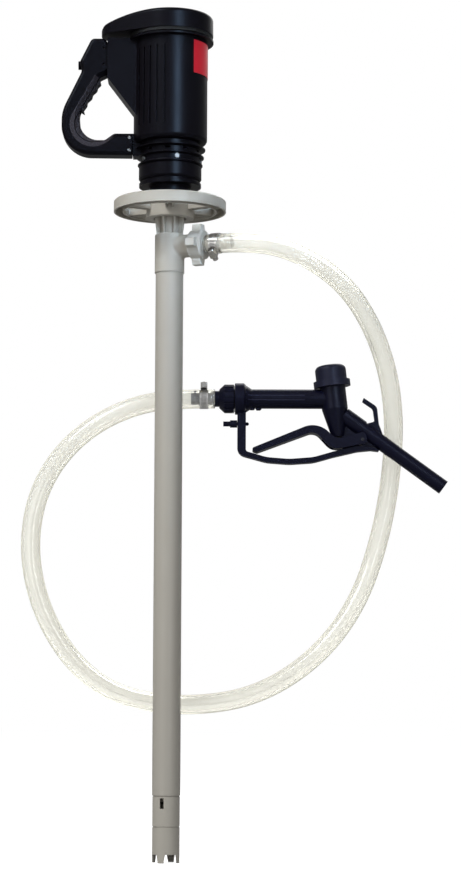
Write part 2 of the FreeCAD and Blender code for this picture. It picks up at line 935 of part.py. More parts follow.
def vent_neck():
    """The neck with three fins, thin at their edges, and a block beside the handle's foot."""
    body = new_body("neck_ring")
    low, top = s.collar_top, s.casing_low
    bore = s.lower_bearing_r + 4
    points = [(bore, low), (s.neck_core_r, low)]
    for index in range(3):
        radius = s.fin_low_r + (s.fin_high_r - s.fin_low_r) * index / 2
        bottom = s.fin_low + s.fin_pitch * index
        edge = bottom + (s.fin_thick - s.fin_edge) / 2
        points += [
            (s.neck_core_r, bottom), (radius, edge), (radius, edge + s.fin_edge),
            (s.neck_core_r, bottom + s.fin_thick),
        ]
    points += [(s.neck_core_r, top), (bore, top)]
    turn(body, points)
    middle = s.fin_low + s.fin_pitch / 2 + s.fin_thick / 2
    hole = circles(body, "YZ_Plane", [(0, middle, 2.1)], s.neck_core_r - 8)
    drill = pocket(body, hole, 12, backwards=True)
    around(body, [drill], s.neck_screw_count)
    vent_top = s.fin_low + s.fin_pitch * 2 - 1
    slot = pocket(
        body,
        outline(body, "XZ_Plane", [
            (-4, vent_top - s.vent_tall), (4, vent_top - s.vent_tall), (4, vent_top), (-4, vent_top),
        ]),
        s.fin_high_r + 2,
        backwards=True,
    )
    around(body, [slot], s.vent_count)
    body.setExpression("Placement", spot(turn=s.neck_turn))
    face = s.foot_face - 1 - s.gap
    block = box("foot_block", face - s.neck_core_r + 2, s.foot_half * 2, top - s.foot_low,
                spot(-face, -s.foot_half, s.foot_low))
    fuse("vent_neck", [body, block])


def neck_screws():
    """Cap screws set round the neck between its two lower fins."""
    middle = s.fin_low + s.fin_pitch / 2 + s.fin_thick / 2
    screws = []
    count = int(s.neck_screw_count.value)
    for index in range(count):
        angle = s.neck_turn + size(360 * index) / s.neck_screw_count
        x, y = rotated(s.neck_core_r - 7, angle)
        axis = (-sine(angle), cosine(angle), 0)
        shank = cylinder(f"neck_shank_{index}", 2, 8, spot(x, y, middle, axis, 90))
        x, y = rotated(s.neck_core_r + s.slip, angle)
        head = cylinder(f"neck_head_{index}", 3.4, 2.6, spot(x, y, middle, axis, 90))
        screws.append(fuse(f"neck_screw_{index}", [shank, head]))
    group("neck_screws", screws)


def motor_housing():
    body = new_body("motor_housing")
    turn(body, [
        (0, s.casing_low), (s.casing_r, s.casing_low), (s.casing_r, s.casing_top),
        (s.lip_flange_r, s.casing_top), (s.lip_flange_r, s.casing_top + s.lip_flange),
        (s.band_r, s.casing_top + s.lip_flange), (s.band_r, s.band_top), (0, s.band_top),
    ])
    soften(body, s.casing_corner, level_ring(s.casing_r, s.casing_low))
    wedge_top = s.casing_top + s.lip_flange
    pad(
        body,
        outline(body, "XZ_Plane", [
            (-s.root_left, wedge_top), (-s.root_left, 293), (-s.casing_r, 241), (-46, 228),
            (-40, 228), (-40, wedge_top),
        ]),
        s.root_half * 2,
        midplane=True,
    )
    foot = [
        (-s.foot_face, s.casing_low), (-46, s.casing_low), (-46, 209), (-s.foot_face, 209),
    ]
    pad(body, outline(body, "XZ_Plane", foot), s.foot_half * 2, midplane=True)
    for low_x, low_z, high_x, high_z in TONGUES:
        tongue = [(low_x, low_z), (high_x, low_z), (high_x, high_z), (low_x, high_z)]
        pad(body, outline(body, "XZ_Plane", tongue), s.tongue_half * 2, midplane=True)
    holes = [(x, z, s.handle_screw_r + s.slip) for x, z in REAR_SCREWS + FRONT_SCREWS]
    pocket(body, circles(body, "XZ_Plane", holes), s.handle_half * 2, midplane=True)
    inside = s.casing_r - s.casing_wall
    groove(body, [
        (0, s.casing_low - 1), (s.motor_shaft_r + 16, s.casing_low - 1),
        (s.motor_shaft_r + 16, s.casing_low + s.casing_floor),
        (inside, s.casing_low + s.casing_floor), (inside, s.band_top + 1), (0, s.band_top + 1),
    ])
    for side in (0, 180):
        for index in range(int(s.groove_count.value)):
            angle = side - 90 - s.groove_start - s.groove_pitch * index
            cut_groove(body, angle)


def cut_groove(body, angle):
    """One upright groove in the casing's wall, seen from above as a small square notch."""
    x, y = rotated(s.casing_r + 1, angle)
    across_x, across_y = rotated(s.groove_wide / 2, angle + 90)
    deep_x, deep_y = rotated(s.groove_deep + 1, angle)
    pocket(
        body,
        outline(body, "XY_Plane", [
            (x - across_x, y - across_y), (x + across_x, y + across_y),
            (x + across_x - deep_x, y + across_y - deep_y),
            (x - across_x - deep_x, y - across_y - deep_y),
        ], s.groove_top),
        s.groove_top - s.groove_low,
    )


def casing_label():
    """The plain label, wrapped round the casing's wall."""
    tall = s.label_high - s.label_low
    outside = cylinder(
        "label_sector", s.casing_r + s.gap + s.label_thick, tall,
        spot(z=s.label_low, turn=s.label_start))
    outside.setExpression("Angle", s.label_sweep.text)
    inside = cylinder("label_inside", s.casing_r + s.gap, tall + 2, spot(z=s.label_low - 1))
    cut("casing_label", outside, [inside])


def top_cover():
    """A cap and its nose in one crowned form, hollow over the casing."""
    body = new_body("cover_plan")
    low = s.band_top
    pad(body, circles(body, "XY_Plane", [(0, 0, s.cover_r)], low), s.cover_top - low)
    lean_x, lean_y = s.cover_r * sine(s.nose_lean), s.cover_r * cosine(s.nose_lean)
    tip = lean_y - (s.cover_reach - lean_x) * sine(s.nose_lean) / cosine(s.nose_lean)
    pad(
        body,
        outline(body, "XY_Plane", [
            (-lean_x, -lean_y), (-s.cover_reach, -tip), (-s.cover_reach, tip), (-lean_x, lean_y),
        ], low),
        s.cover_top - low,
    )
    half_turn = (90 - s.nose_lean) / 2
    room = tip * 0.95 * cosine(half_turn) / sine(half_turn)
    soften(
        body, smaller(s.nose_round, room),
        lambda edge: upright_at(edge, -s.cover_reach.value, tip.value))
    chamfer = outline(body, "XZ_Plane", [
        (-s.cover_reach - 1, low + 9), (-s.cover_reach, low + 9), (16 - s.cover_reach, s.cover_edge - 2),
        (16 - s.cover_reach, s.cover_top + 1), (-s.cover_reach - 1, s.cover_top + 1),
    ])
    pocket(body, chamfer, s.cover_r * 2, midplane=True)
    crown_r = (s.cover_r * s.cover_r) / (2 * (s.cover_top - s.cover_edge))
    crown = doc.addObject("Part::Sphere", "cover_crown")
    crown.setExpression("Radius", crown_r.text)
    crown.setExpression("Placement", spot(z=s.cover_top - crown_r))
    shaped = doc.addObject("Part::MultiCommon", "cover_shaped")
    shaped.Shapes = [body, crown]
    rim = round_edges("cover_rim", shaped, s.cover_round, lambda edge: (
        edge.BoundBox.ZMin > low.value + 1 and edge.Length > 1))
    inside = cylinder("cover_inside", s.cover_r - s.cover_wall, s.cover_edge - low - 6, spot(z=low - 1))
    cut("top_cover", rim, [inside])


def round_edges(name, base, radius, pick):
    """Rounds a primitive's edges that pick accepts."""
    doc.recompute()
    item = doc.addObject("Part::Fillet", name)
    item.Base = base
    item.Edges = [
        (index + 1, radius.value, radius.value)
        for index, edge in enumerate(base.Shape.Edges) if pick(edge)
    ]
    return item


def upright_at(edge, x, y):
    """Accepts an upright edge at this X and at plus or minus this Y."""
    middle = edge.CenterOfMass
    ends = [vertex.Point for vertex in edge.Vertexes]
    if len(ends) != 2 or abs(ends[0].z - ends[1].z) < 3:
        return False
    level = abs(ends[0].x - ends[1].x) < 0.01 and abs(ends[0].y - ends[1].y) < 0.01
    return level and abs(middle.x - x) < 0.1 and abs(abs(middle.y) - y) < 0.1


def cover_seal():
    body = new_body("cover_seal")
    low = s.casing_top + s.lip_flange
    turn(body, [
        (s.band_r + s.slip, low + 2), (s.cover_r - 1.5, low + 2), (s.cover_r - 1.5, s.band_top),
        (s.band_r + s.slip, s.band_top),
    ])


# Handle: the outline of the D, seen from the front, and the trigger in its grip

# Corners as X, Z and radius.

HANDLE_OUTER = [
    (-94.6, 348.5, 0), (-98, 354.5, 7), (-118.5, 354.5, 8), (-136, 319, 8), (-132.5, 305, 14),
    (-162.3, 243, 60), (-162.3, 177, 45), (-57, 176, 0),
]
HANDLE_INNER = [
    (-57, 209.5, 0), (-84, 209.5, 8), (-97.5, 199.5, 8), (-133, 199.5, 28), (-136.5, 241, 25),
    (-107, 293.5, 15), (-94.6, 299.5, 0),
]
TRIGGER_FACE = [
    (-128.5, 242, 0), (-130.5, 247, 2), (-125, 255, 3), (-124.5, 260, 3), (-118, 266, 3),
    (-116.5, 272, 3), (-110.5, 277.5, 3), (-109, 283, 3), (-103.5, 288, 3), (-106.5, 292, 0),
]


def trigger_slide(distance):
    """A step into the grip, square to the trigger's face."""
    return -distance * 0.879, distance * 0.476


def handle_shell(name, front):
    body = new_body(name)
    pad(body, smooth_outline(body, "XZ_Plane", HANDLE_OUTER + HANDLE_INNER), s.handle_half,
        backwards=not front)
    joints = (HANDLE_OUTER[0][0], HANDLE_OUTER[-1][0])
    outer, inner = (
        Part.makePolygon([FreeCAD.Vector(x, 0, z) for x, z, radius in corners])
        for corners in (HANDLE_OUTER, HANDLE_INNER)
    )

    def on_rim(edge, near, far):
        if min(abs(edge.BoundBox.YMin), abs(edge.BoundBox.YMax)) < s.handle_half.value - 0.01:
            return False
        if any(max(abs(end.Point.x - x) for end in edge.Vertexes) < 0.01 for x in joints):
            return False
        middle = Part.Vertex(edge.CenterOfMass)
        return middle.distToShape(near)[0] < middle.distToShape(far)[0]

    soften(body, s.handle_round, lambda edge: on_rim(edge, outer, inner))
    soften(body, s.handle_bevel, lambda edge: on_rim(edge, inner, outer), "PartDesign::Chamfer")
    hollow_shell(body, front)


def hollow_shell(body, front):
    """Room in a handle's shell for the tongues, the trigger, the switch, the screws and the gland."""
    for low_x, low_z, high_x, high_z in TONGUES:
        room = outline(body, "XZ_Plane", [
            (low_x - s.gap, low_z - s.gap), (high_x, low_z - s.gap),
            (high_x, high_z + s.gap), (low_x - s.gap, high_z + s.gap),
        ])
        pocket(body, room, s.tongue_half + s.slip, backwards=front)
    low_x, low_z = trigger_slide(s.trigger_deep + s.trigger_travel + s.room_low)
    high_x, high_z = trigger_slide(s.trigger_deep + s.trigger_travel + s.room_high)
    room = outline(body, "XZ_Plane", [
        (-128.6, 235.5), (-97.1, 288.7), (high_x - 97.1, high_z + 288.7),
        (low_x - 128.6, low_z + 235.5),
    ])
    pocket(body, room, s.trigger_half + s.gap, backwards=front)
    pocket(body, outline(body, "XZ_Plane", SWITCH_ROOM), s.switch_half, backwards=front)
    holes = [(x, z, s.handle_screw_r + s.slip) for x, z in REAR_SCREWS + FRONT_SCREWS]
    pocket(body, circles(body, "XZ_Plane", holes), s.handle_half + 1, backwards=front)
    side = 1 if front else -1
    seats = [(x, z, s.screw_head_r + s.slip) for x, z in (FRONT_SCREWS if front else REAR_SCREWS)]
    sink = circles(body, "XZ_Plane", seats, side * (s.handle_half + 1))
    pocket(body, sink, s.screw_sunk + 1, backwards=not front)
    socket = circles(body, "YZ_Plane", [(0, s.gland_z, s.gland_r + s.slip)], -s.gland_in + s.gap)
    pocket(body, socket, 30)


def switch_trigger():
    body = new_body("switch_trigger")
    dx, dz = trigger_slide(s.trigger_deep.value)
    back = [(dx - 106.5, dz + 292, 0), (dx - 128.5, dz + 242, 0)]
    pad(body, smooth_outline(body, "XZ_Plane", TRIGGER_FACE + back), s.trigger_half * 2,
        midplane=True)


def handle_screws():
    """Screws through both shells and the casing's tongues, their heads sunk in the shells."""
    screws = []
    seat = s.handle_half - s.screw_sunk
    for side, spots in ((1, REAR_SCREWS), (-1, FRONT_SCREWS)):
        for x, z in spots:
            name = f"handle_screw_{len(screws)}"
            head = cylinder(name + "_head", s.screw_head_r, s.screw_head, spot(
                x, side * (seat + s.screw_head), z, (1, 0, 0), side * 90))
            shank = cylinder(name + "_shank", s.handle_screw_r, seat * 2 - 3, spot(
                x, side * seat, z, (1, 0, 0), side * 90))
            screws.append(fuse(name, [head, shank]))
    group("handle_screws", screws)


SWITCH_BLOCK = [(-135.5, 259.4), (-125.1, 283.2), (-133.3, 286.8), (-143.7, 263)]
SWITCH_ROOM = [(-134.68, 259.04), (-124.28, 282.84), (-133.3, 286.8), (-143.7, 263)]


def switch_block():
    """The switch behind the trigger, closed in by both shells."""
    body = new_body("switch_block")
    pad(body, outline(body, "XZ_Plane", SWITCH_BLOCK), s.switch_half * 2, midplane=True)


def cable_gland():
    place = spot(-s.gland_out, 0, s.gland_z, (0, 1, 0), 90)
    ring = cylinder("gland_solid", s.gland_r, s.gland_out - s.gland_in, place)
    hole = cylinder("gland_hole", s.cord_hole_r, s.gland_out - s.gland_in, place)
    cut("cable_gland", ring, [hole])


# What turns and what is wound inside the motor

def bearing(name, outside, inside, low):
    """A ball bearing drawn as one ring with a groove in each face for its shield."""
    body = new_body(name)
    top = low + s.bearing_wide
    race = (outside - inside) / 4
    turn(body, [
        (inside, low), (inside + race, low), (inside + race, low + 0.8), (outside - race, low + 0.8),
        (outside - race, low), (outside, low), (outside, top), (outside - race, top),
        (outside - race, top - 0.8), (inside + race, top - 0.8), (inside + race, top), (inside, top),
    ])


def bearings():
    shaft = s.motor_shaft_r + s.slip
    bearing("lower_bearing", s.lower_bearing_r, shaft, s.collar_top - s.bearing_wide)
    bearing("upper_bearing", s.upper_bearing_r, shaft, s.motor_shaft_top - s.bearing_wide - 1)


def bearing_bracket():
    body = new_body("bearing_bracket")
    low = s.motor_shaft_top - s.bearing_wide - 1
    seat = s.upper_bearing_r + s.slip
    turn(body, [
        (seat, low), (seat + 5, low), (seat + 5, low + 7),
        (s.casing_r - s.casing_wall - s.slip, low + 7), (s.casing_r - s.casing_wall - s.slip, low + 11),
        (seat, low + 11),
    ])
    slot = pocket(
        body,
        outline(body, "XY_Plane", [
            (seat + 8, -7), (s.casing_r - s.casing_wall - 7, -11),
            (s.casing_r - s.casing_wall - 7, 11), (seat + 8, 7),
        ], low + 12),
        8,
    )
    around(body, [slot], 4)


def stator():
    body = new_body("stator")
    outside = s.casing_r - s.casing_wall - s.slip
    turn(body, [
        (s.stator_bore_r, s.core_low), (outside, s.core_low), (outside, s.core_top),
        (s.stator_bore_r, s.core_top),
    ])
    slot = pocket(
        body,
        outline(body, "XY_Plane", [
            (s.stator_bore_r - 2, -1.5), (s.stator_bore_r + 2, -1.5), (s.stator_bore_r + 4, -6),
            (outside - 7, -7), (outside - 7, 7), (s.stator_bore_r + 4, 6),
            (s.stator_bore_r + 2, 1.5), (s.stator_bore_r - 2, 1.5),
        ], s.core_top + 1),
        s.core_top - s.core_low + 2,
    )
    around(body, [slot], 8)


def rotor_core():
    body = new_body("rotor_core")
    outside = s.stator_bore_r - s.air_gap
    turn(body, [
        (s.motor_shaft_r + s.slip, s.core_low), (outside, s.core_low), (outside, s.core_top),
        (s.motor_shaft_r + s.slip, s.core_top),
    ])
    slot = pocket(
        body,
        outline(body, "XY_Plane", [
            (outside - 8, -2.2), (outside + 1, -1.2), (outside + 1, 1.2), (outside - 8, 2.2),
        ], s.core_top + 1),
        s.core_top - s.core_low + 2,
    )
    around(body, [slot], 12)


def commutator():
    body = new_body("commutator")
    top = s.commutator_low + s.commutator_tall
    turn(body, [
        (s.motor_shaft_r + s.slip, s.commutator_low), (s.commutator_r + 2, s.commutator_low),
        (s.commutator_r + 2, s.commutator_low + 2), (s.commutator_r, s.commutator_low + 2),
        (s.commutator_r, top), (s.motor_shaft_r + s.slip, top),
    ])


def brush_gear():
    """The ring that carries the two brushes, set in the casing's bore, and the brushes."""
    outside = s.casing_r - s.casing_wall - s.slip
    body = new_body("brush_holders")
    low = s.commutator_low + 3
    turn(body, [(outside - 6, low), (outside, low), (outside, low + 12), (outside - 6, low + 12)])
    for side in (-1, 1):
        arm = outline(body, "XY_Plane", [
            (-6, side * 24), (6, side * 24), (6, (outside - 4) * side), (-6, (outside - 4) * side),
        ], low)
        pad(body, arm, 12)
    slot = outline(body, "XZ_Plane", [(-3.6, low + 2), (3.6, low + 2), (3.6, low + 10), (-3.6, low + 10)])
    pocket(body, slot, 84, midplane=True)
    brushes = []
    for index, side in enumerate((0, 180)):
        y = s.commutator_r + s.slip
        brushes.append(box(
            f"brush_{index}", 7, 18, 7.6,
            f"placement(vector(0; 0; {(low + 2.2).text}); rotation(vector(0; 0; 1); {side}))"
            f" * placement(vector(0 - 3.5; {y.text}; 0); rotation(vector(0; 0; 1); 0))",
        ))
    group("carbon_brushes", brushes)


def motor_shaft():
    body = new_body("motor_shaft")
    turn(body, [
        (0, s.motor_shaft_low), (s.motor_shaft_r, s.motor_shaft_low),
        (s.motor_shaft_r, s.motor_shaft_top - 1), (s.motor_shaft_r - 1, s.motor_shaft_top),
        (0, s.motor_shaft_top),
    ])


def cooling_fan():
    body = new_body("cooling_fan")
    top = s.fan_low + s.fan_tall
    bore = s.motor_shaft_r + s.slip
    turn(body, [
        (bore, s.fan_low), (bore + 5, s.fan_low), (bore + 5, top - 2.5), (s.fan_r, top - 2.5),
        (s.fan_r, top), (bore, top),
    ])
    blade = pad(
        body,
        outline(body, "XY_Plane", [
            (bore + 4, -1), (s.fan_r - 8, 4), (s.fan_r, 9), (s.fan_r, 11), (s.fan_r - 8, 6),
            (bore + 4, 1),
        ], s.fan_low),
        s.fan_tall - 2,
    )
    around(body, [blade], 9)


def couplings():
    """The motor's socket and the pump's splined end that turns in it."""
    bore = s.motor_shaft_r + s.slip
    socket = new_body("drive_coupling")
    low = s.head_flange_top + 1
    turn(socket, [
        (10.4, low), (16, low), (16, s.motor_shaft_low + 14), (bore, s.motor_shaft_low + 14),
        (bore, s.motor_shaft_low - 1), (10.4, s.motor_shaft_low - 1),
    ])
    stub = new_body("pump_coupling")
    base = s.neck_top - 6
    turn(stub, [
        (s.shaft_r + s.slip, base), (10, base), (10, base + 26), (8, base + 28),
        (s.shaft_r + s.slip, base + 28),
    ])
    flute = pocket(
        stub,
        outline(stub, "XY_Plane", [(8, -1.5), (11, -2.5), (11, 2.5), (8, 1.5)], base + 29),
        20,
    )
    around(stub, [flute], 6)


# Nozzle. Its pieces are drawn in the nozzle's own frame and set with nozzle_spot.

def nozzle_spot(x=0, y=0, z=0, axis=(0, 0, 1), turn=0):
    return spot(s.nozzle_x + x, s.nozzle_y + y, s.nozzle_z + z, axis, turn)


def nozzle_hose_tail():
    body = new_body("nozzle_hose_tail")
    root = s.hose_r - s.hose_wall - s.slip - s.barb_step
    end = s.nozzle_hose_end
    pitch = (end - 1 - s.nozzle_barb) / 4
    teeth = []
    for index in range(4):
        start = s.nozzle_barb + pitch * index
        teeth += [(start, root), (start + pitch * 0.8, root + s.barb_step)]
    turn(body, [
        (s.nozzle_barb, s.tail_bore_r), *teeth, (end, root), (end, s.tail_neck_r + 1),
        (s.swivel_start + 4, s.tail_neck_r + 1), (s.swivel_start + 4, 14.5),
        (s.swivel_start + 9, 14.5), (s.swivel_start + 9, s.tail_bore_r),
    ], "H_Axis")
    body.setExpression("Placement", nozzle_spot())


def swivel_nut():
    body = new_body("swivel_nut")
    start, end = s.swivel_start, s.swivel_start + s.swivel_length
    throat = s.tail_neck_r + 1 + s.gap
    turn(body, [
        (start, throat), (start, s.swivel_r - 7.5), (start + 8, s.swivel_r), (end, s.swivel_r),
        (end, 15.3), (start + 3.6, 15.3), (start + 3.6, throat),
    ], "H_Axis")
    flat = pocket(
        body,
        outline(body, "XZ_Plane", [
            (start + 3, s.swivel_r - 1.2), (end + 1, s.swivel_r - 1.2), (end + 1, s.swivel_r + 2),
            (start + 3, s.swivel_r + 2),
        ]),
        3,
        midplane=True,
    )
    around(body, [flat], 16, "X_Axis")
    body.setExpression("Placement", nozzle_spot())


def swivel_seal():
    body = new_body("swivel_seal")
    start = s.swivel_start + 9 + s.gap
    turn(body, [(start, 9.5), (start, 14), (start + 2, 14), (start + 2, 9.5)], "H_Axis")
    body.setExpression("Placement", nozzle_spot())


def valve_spot(height):
    """A place on the valve's leaning axis, this far up it from the nozzle's axis."""
    x = s.valve_x - height * sine(s.valve_lean)
    return nozzle_spot(x, 0, height * cosine(s.valve_lean), (0, 1, 0), -s.valve_lean)


def spout_place(reach):
    """A place on the spout's axis, this far from its root, with local Z down the spout."""
    return nozzle_spot(
        s.spout_root_x + reach * cosine(s.spout_drop), 0,
        s.spout_root_z - reach * sine(s.spout_drop), (0, 1, 0), s.spout_drop + 90)


NOZZLE_WEB = [
    (205, -5), (225, -28), (275, -66), (266, -73.2), (258, -71.8), (252, -70.8), (244, -70.2),
    (232, -66), (222, -60), (216, -56), (206, -50),
]


def nozzle_body():
    start = s.swivel_start + 9 + s.gap + 2
    barrel = cylinder("barrel", s.barrel_r, s.barrel_end - start, nozzle_spot(start, 0, 0, (0, 1, 0), 90))
    upper = cylinder("valve_case", s.valve_head_r, s.valve_high - s.valve_waist, valve_spot(s.valve_waist))
    lower = cone("valve_foot", s.valve_foot_r, s.valve_head_r, s.valve_waist - s.valve_low,
                 valve_spot(s.valve_low))
    collar_start = s.guard_ring_start + s.guard_ring_length + s.gap
    collar = cone("barrel_flare", s.guard_ring_r - 3.5, s.barrel_r, 9, nozzle_spot(
        collar_start, 0, 0, (0, 1, 0), 90))
    sleeve = cylinder("spout_sleeve", s.spout_r + s.sleeve_wall, s.spout_sleeve, spout_place(size(0)))
    ear = cylinder("pivot_ear", 5.5, (s.lever_slot - s.gap) * 2, nozzle_spot(
        s.pivot_x, s.lever_slot - s.gap, s.pivot_z, (1, 0, 0), 90))
    web = new_body("nozzle_web")
    pad(web, outline(web, "XZ_Plane", NOZZLE_WEB), 8, midplane=True)
    web.setExpression("Placement", nozzle_spot())
    whole = fuse("nozzle_solid", [barrel, upper, lower, collar, sleeve, ear, web])
    bore = cylinder("barrel_bore", s.barrel_bore_r, s.valve_x - start, nozzle_spot(
        start - 1, 0, 0, (0, 1, 0), 90))
    chamber = cylinder("valve_chamber", s.valve_bore_r, s.valve_high + 20, valve_spot(-12))
    passage = cylinder("spout_passage", s.spout_r - s.spout_wall, 20, spout_place(size(-15)))
    seat = cylinder("spout_seat", s.spout_r + s.slip, s.spout_length / 2, spout_place(size(0)))
    guide = cylinder("stem_guide", s.stem_r + s.slip, 80, valve_spot(s.valve_low - 2))
    hole = cylinder("pivot_hole", s.pin_r + s.slip, 60, nozzle_spot(
        s.pivot_x, 30, s.pivot_z, (1, 0, 0), 90))
    cut("nozzle_body", whole, [bore, chamber, passage, seat, guide, hole, *barrel_flutes()])


def barrel_flutes():
    """Shallow flutes along the barrel, none of them straight ahead."""
    flutes = []
    count = int(s.flute_count.value)
    for index in range(count):
        y, z = rotated(s.barrel_r + s.flute_r / 2, size(360) * (index + 0.5) / s.flute_count)
        flutes.append(cylinder(f"flute_{index}", s.flute_r, s.flute_end - s.flute_start, nozzle_spot(
            s.flute_start, y, z, (0, 1, 0), 90)))
    return flutes


def nozzle_cap():
    flange_low = s.valve_high
    flange = cylinder("cap_flange_ring", s.cap_flange_r, s.cap_flange, valve_spot(flange_low))
    dome = cylinder("cap_dome", s.cap_r, s.cap_tall, valve_spot(flange_low))
    whole = fuse("cap_solid", [flange, dome])
    round_top = doc.addObject("Part::Fillet", "cap_round")
    round_top.Base = whole
    doc.recompute()
    top = max(
        range(len(whole.Shape.Edges)),
        key=lambda index: whole.Shape.Edges[index].CenterOfMass.z,
    )
    round_top.Edges = [(top + 1, 8.0, 8.0)]
    inside = cylinder("cap_inside", s.valve_bore_r, s.cap_tall - 6, valve_spot(flange_low - 1))
    cut("nozzle_cap", round_top, [inside])


def valve_parts():
    disc_low = -6
    stem_low = s.valve_low - s.stem_reach
    stem = cylinder("stem_rod", s.stem_r, disc_low - stem_low + 3, valve_spot(stem_low))
    tip = cylinder("stem_collar", s.stem_r + 2.5, 3, valve_spot(disc_low))
    fuse("valve_stem", [stem, tip])
    ring = cylinder("disc_ring", s.disc_r, 4, valve_spot(disc_low + 3))
    cut("valve_disc", ring, [cylinder("disc_hole", 1.5, 6, valve_spot(disc_low + 2))])
    spring_low = disc_low + 7 + s.gap
    spring_top = s.valve_high + s.cap_tall - 7
    coil = cylinder("spring_outside", 9, spring_top - spring_low - s.gap, valve_spot(spring_low))
    hollow = cylinder("spring_inside", 7.2, 80, valve_spot(spring_low - 5))
    cut("valve_spring", coil, [hollow])
    gland = cylinder("gland_ring", s.stem_r + 3, 2.4, valve_spot(s.valve_low - 2.4))
    cut("stem_seal", gland, [cylinder("gland_bore", s.stem_r + s.slip, 6, valve_spot(s.valve_low - 4))])


def lever():
    """The squeeze lever: a deep plate, forked past the valve, with a bar under the stem."""
    body = new_body("lever")
    px, pz = s.pivot_x.value, s.pivot_z.value
    pad(
        body,
        smooth_outline(body, "XZ_Plane", [
            (73, -77.5, 3), (176, -35.2, 34), (204.5, -62, 18), (px + 3, -50, 5), (px + 7, pz, 5),
            (px + 4, -68, 3), (198, -77.5, 20), (172, -49.5, 16), (86, -81.5, 2),
        ]),
        s.lever_half * 2,
        midplane=True,
    )
    slot = outline(body, "XY_Plane", [
        (183, -s.lever_slot), (270, -s.lever_slot), (270, s.lever_slot), (183, s.lever_slot),
    ], 0)
    pocket(body, slot, 120)
    bar = outline(body, "XZ_Plane", [(200, -75.5), (214, -74), (214, -69), (200, -69)])
    pad(body, bar, s.lever_slot * 2 + 2, midplane=True)
    hole = circles(body, "XZ_Plane", [(s.pivot_x, s.pivot_z, s.pin_r + s.slip)])
    pocket(body, hole, 60, midplane=True)
    body.setExpression("Placement", nozzle_spot())


def lever_pin():
    half = s.lever_half + 0.6
    cylinder("lever_pin", s.pin_r, half * 2, nozzle_spot(s.pivot_x, half, s.pivot_z, (1, 0, 0), 90))


def lever_guard():
    """The bow that guards the lever, with a ring on the barrel at its near end."""
    body = new_body("lever_guard")
    start, end = s.guard_ring_start, s.guard_ring_start + s.guard_ring_length
    inner = s.barrel_r + s.slip
    turn(body, [
        (start, inner), (start, s.guard_ring_r - 1), (start + 1, s.guard_ring_r),
        (end - 3, s.guard_ring_r), (end, s.guard_ring_r - 3), (end, inner),
    ], "H_Axis")
    pad(
        body,
        smooth_outline(body, "XZ_Plane", [
            (56.2, -18, 0), (56.2, -84.5, 14), (100, -96.5, 60), (134, -99, 80), (170, -96.5, 60),
            (200, -88, 60), (236, -79.6, 30), (256, -77.6, 10), (271, -79.4, 1), (263.8, -74.2, 1),
            (250, -71.4, 10), (234, -71.5, 30), (200, -79.8, 60), (170, -88.4, 60), (134, -91.2, 80),
            (100, -88.6, 60), (69, -79.6, 4), (69, -18, 0),
        ]),
        s.guard_half * 2,
        midplane=True,
    )
    bore = circles(body, "YZ_Plane", [(0, 0, inner)], start - 1)
    pocket(body, bore, s.guard_ring_length + 20, backwards=True)
    latch = circles(body, "YZ_Plane", [(0, s.latch_z, s.latch_r + s.gap)], 40)
    pocket(body, latch, 40, backwards=True)
    body.setExpression("Placement", nozzle_spot())


def latch_pin():
    body = new_body("latch_pin")
    knob = 5.6
    turn(body, [
        (35, 0), (35, 3.8), (45.3, 3.8), (45.3, knob), (55.9, knob), (55.9, s.latch_r),
        (72, s.latch_r), (73.5, s.latch_r - 1.5), (73.5, 0),
    ], "H_Axis")
    body.setExpression("Placement", nozzle_spot(z=s.latch_z))


def spout():
    """The bent-down tube with its hanging hook."""
    upper = cylinder("spout_upper", s.spout_r, s.spout_length - s.spout_end, spout_place(size(0)))
    lower = cylinder("spout_lower", s.spout_r - s.spout_step, s.spout_end,
                     spout_place(s.spout_length - s.spout_end))
    tube = fuse("spout_tube", [upper, lower])
    bore = cylinder("spout_bore", s.spout_r - s.spout_wall, s.spout_length + 4, spout_place(size(-2)))
    hollow = cut("spout_hollow", tube, [bore])
    hook = new_body("spout_hook")
    pad(
        hook,
        smooth_outline(hook, "XZ_Plane", [
            (252, -36.5, 0), (262, -34, 3), (259.5, -15, 8), (243.5, -4, 1), (245.8, 2, 1),
            (265.8, -11.5, 10), (268.5, -38, 12), (274, -52.5, 0), (264, -47, 0),
        ]),
        7,
        midplane=True,
    )
    hook.setExpression("Placement", nozzle_spot())
    fuse("spout", [hollow, hook])


# Hose: straight runs joined by tangent arcs along the route

def hose_points():
    turned = math.radians(s.outlet_turn.value)
    rise = s.outlet_rise.value
    along = FreeCAD.Vector(math.cos(turned), -math.sin(turned), 0)
    base = FreeCAD.Vector(0, 0, rise)
    start = s.hose_start.value
    end = FreeCAD.Vector(s.nozzle_x.value, s.nozzle_y.value, s.nozzle_z.value)
    end.x += s.nozzle_hose_end.value
    return (
        [base + along * start, base + along * (start + s.hose_straight.value)]
        + [FreeCAD.Vector(*point) for point in HOSE_ROUTE]
        + [end - FreeCAD.Vector(58, 0, 0), end]
    )


def hose_path(points):
    edges, radii = [], []
    last = points[0]
    for before, here, after in zip(points, points[1:], points[2:]):
        into, out = here - before, after - here
        angle = into.getAngle(out)
        reach = 0.45 * min(into.Length, out.Length)
        radii.append(reach / math.tan(angle / 2))
        into, out = FreeCAD.Vector(into).normalize(), FreeCAD.Vector(out).normalize()
        start, end = here - into * reach, here + out * reach
        inward = (out - into).normalize()
        sag = radii[-1] * (1 / math.cos(angle / 2) - 1)
        edges.append(Part.LineSegment(last, start).toShape())
        edges.append(Part.Arc(start, here + inward * sag, end).toShape())
        last = end
    edges.append(Part.LineSegment(last, points[-1]).toShape())
    return Part.Wire(edges), radii


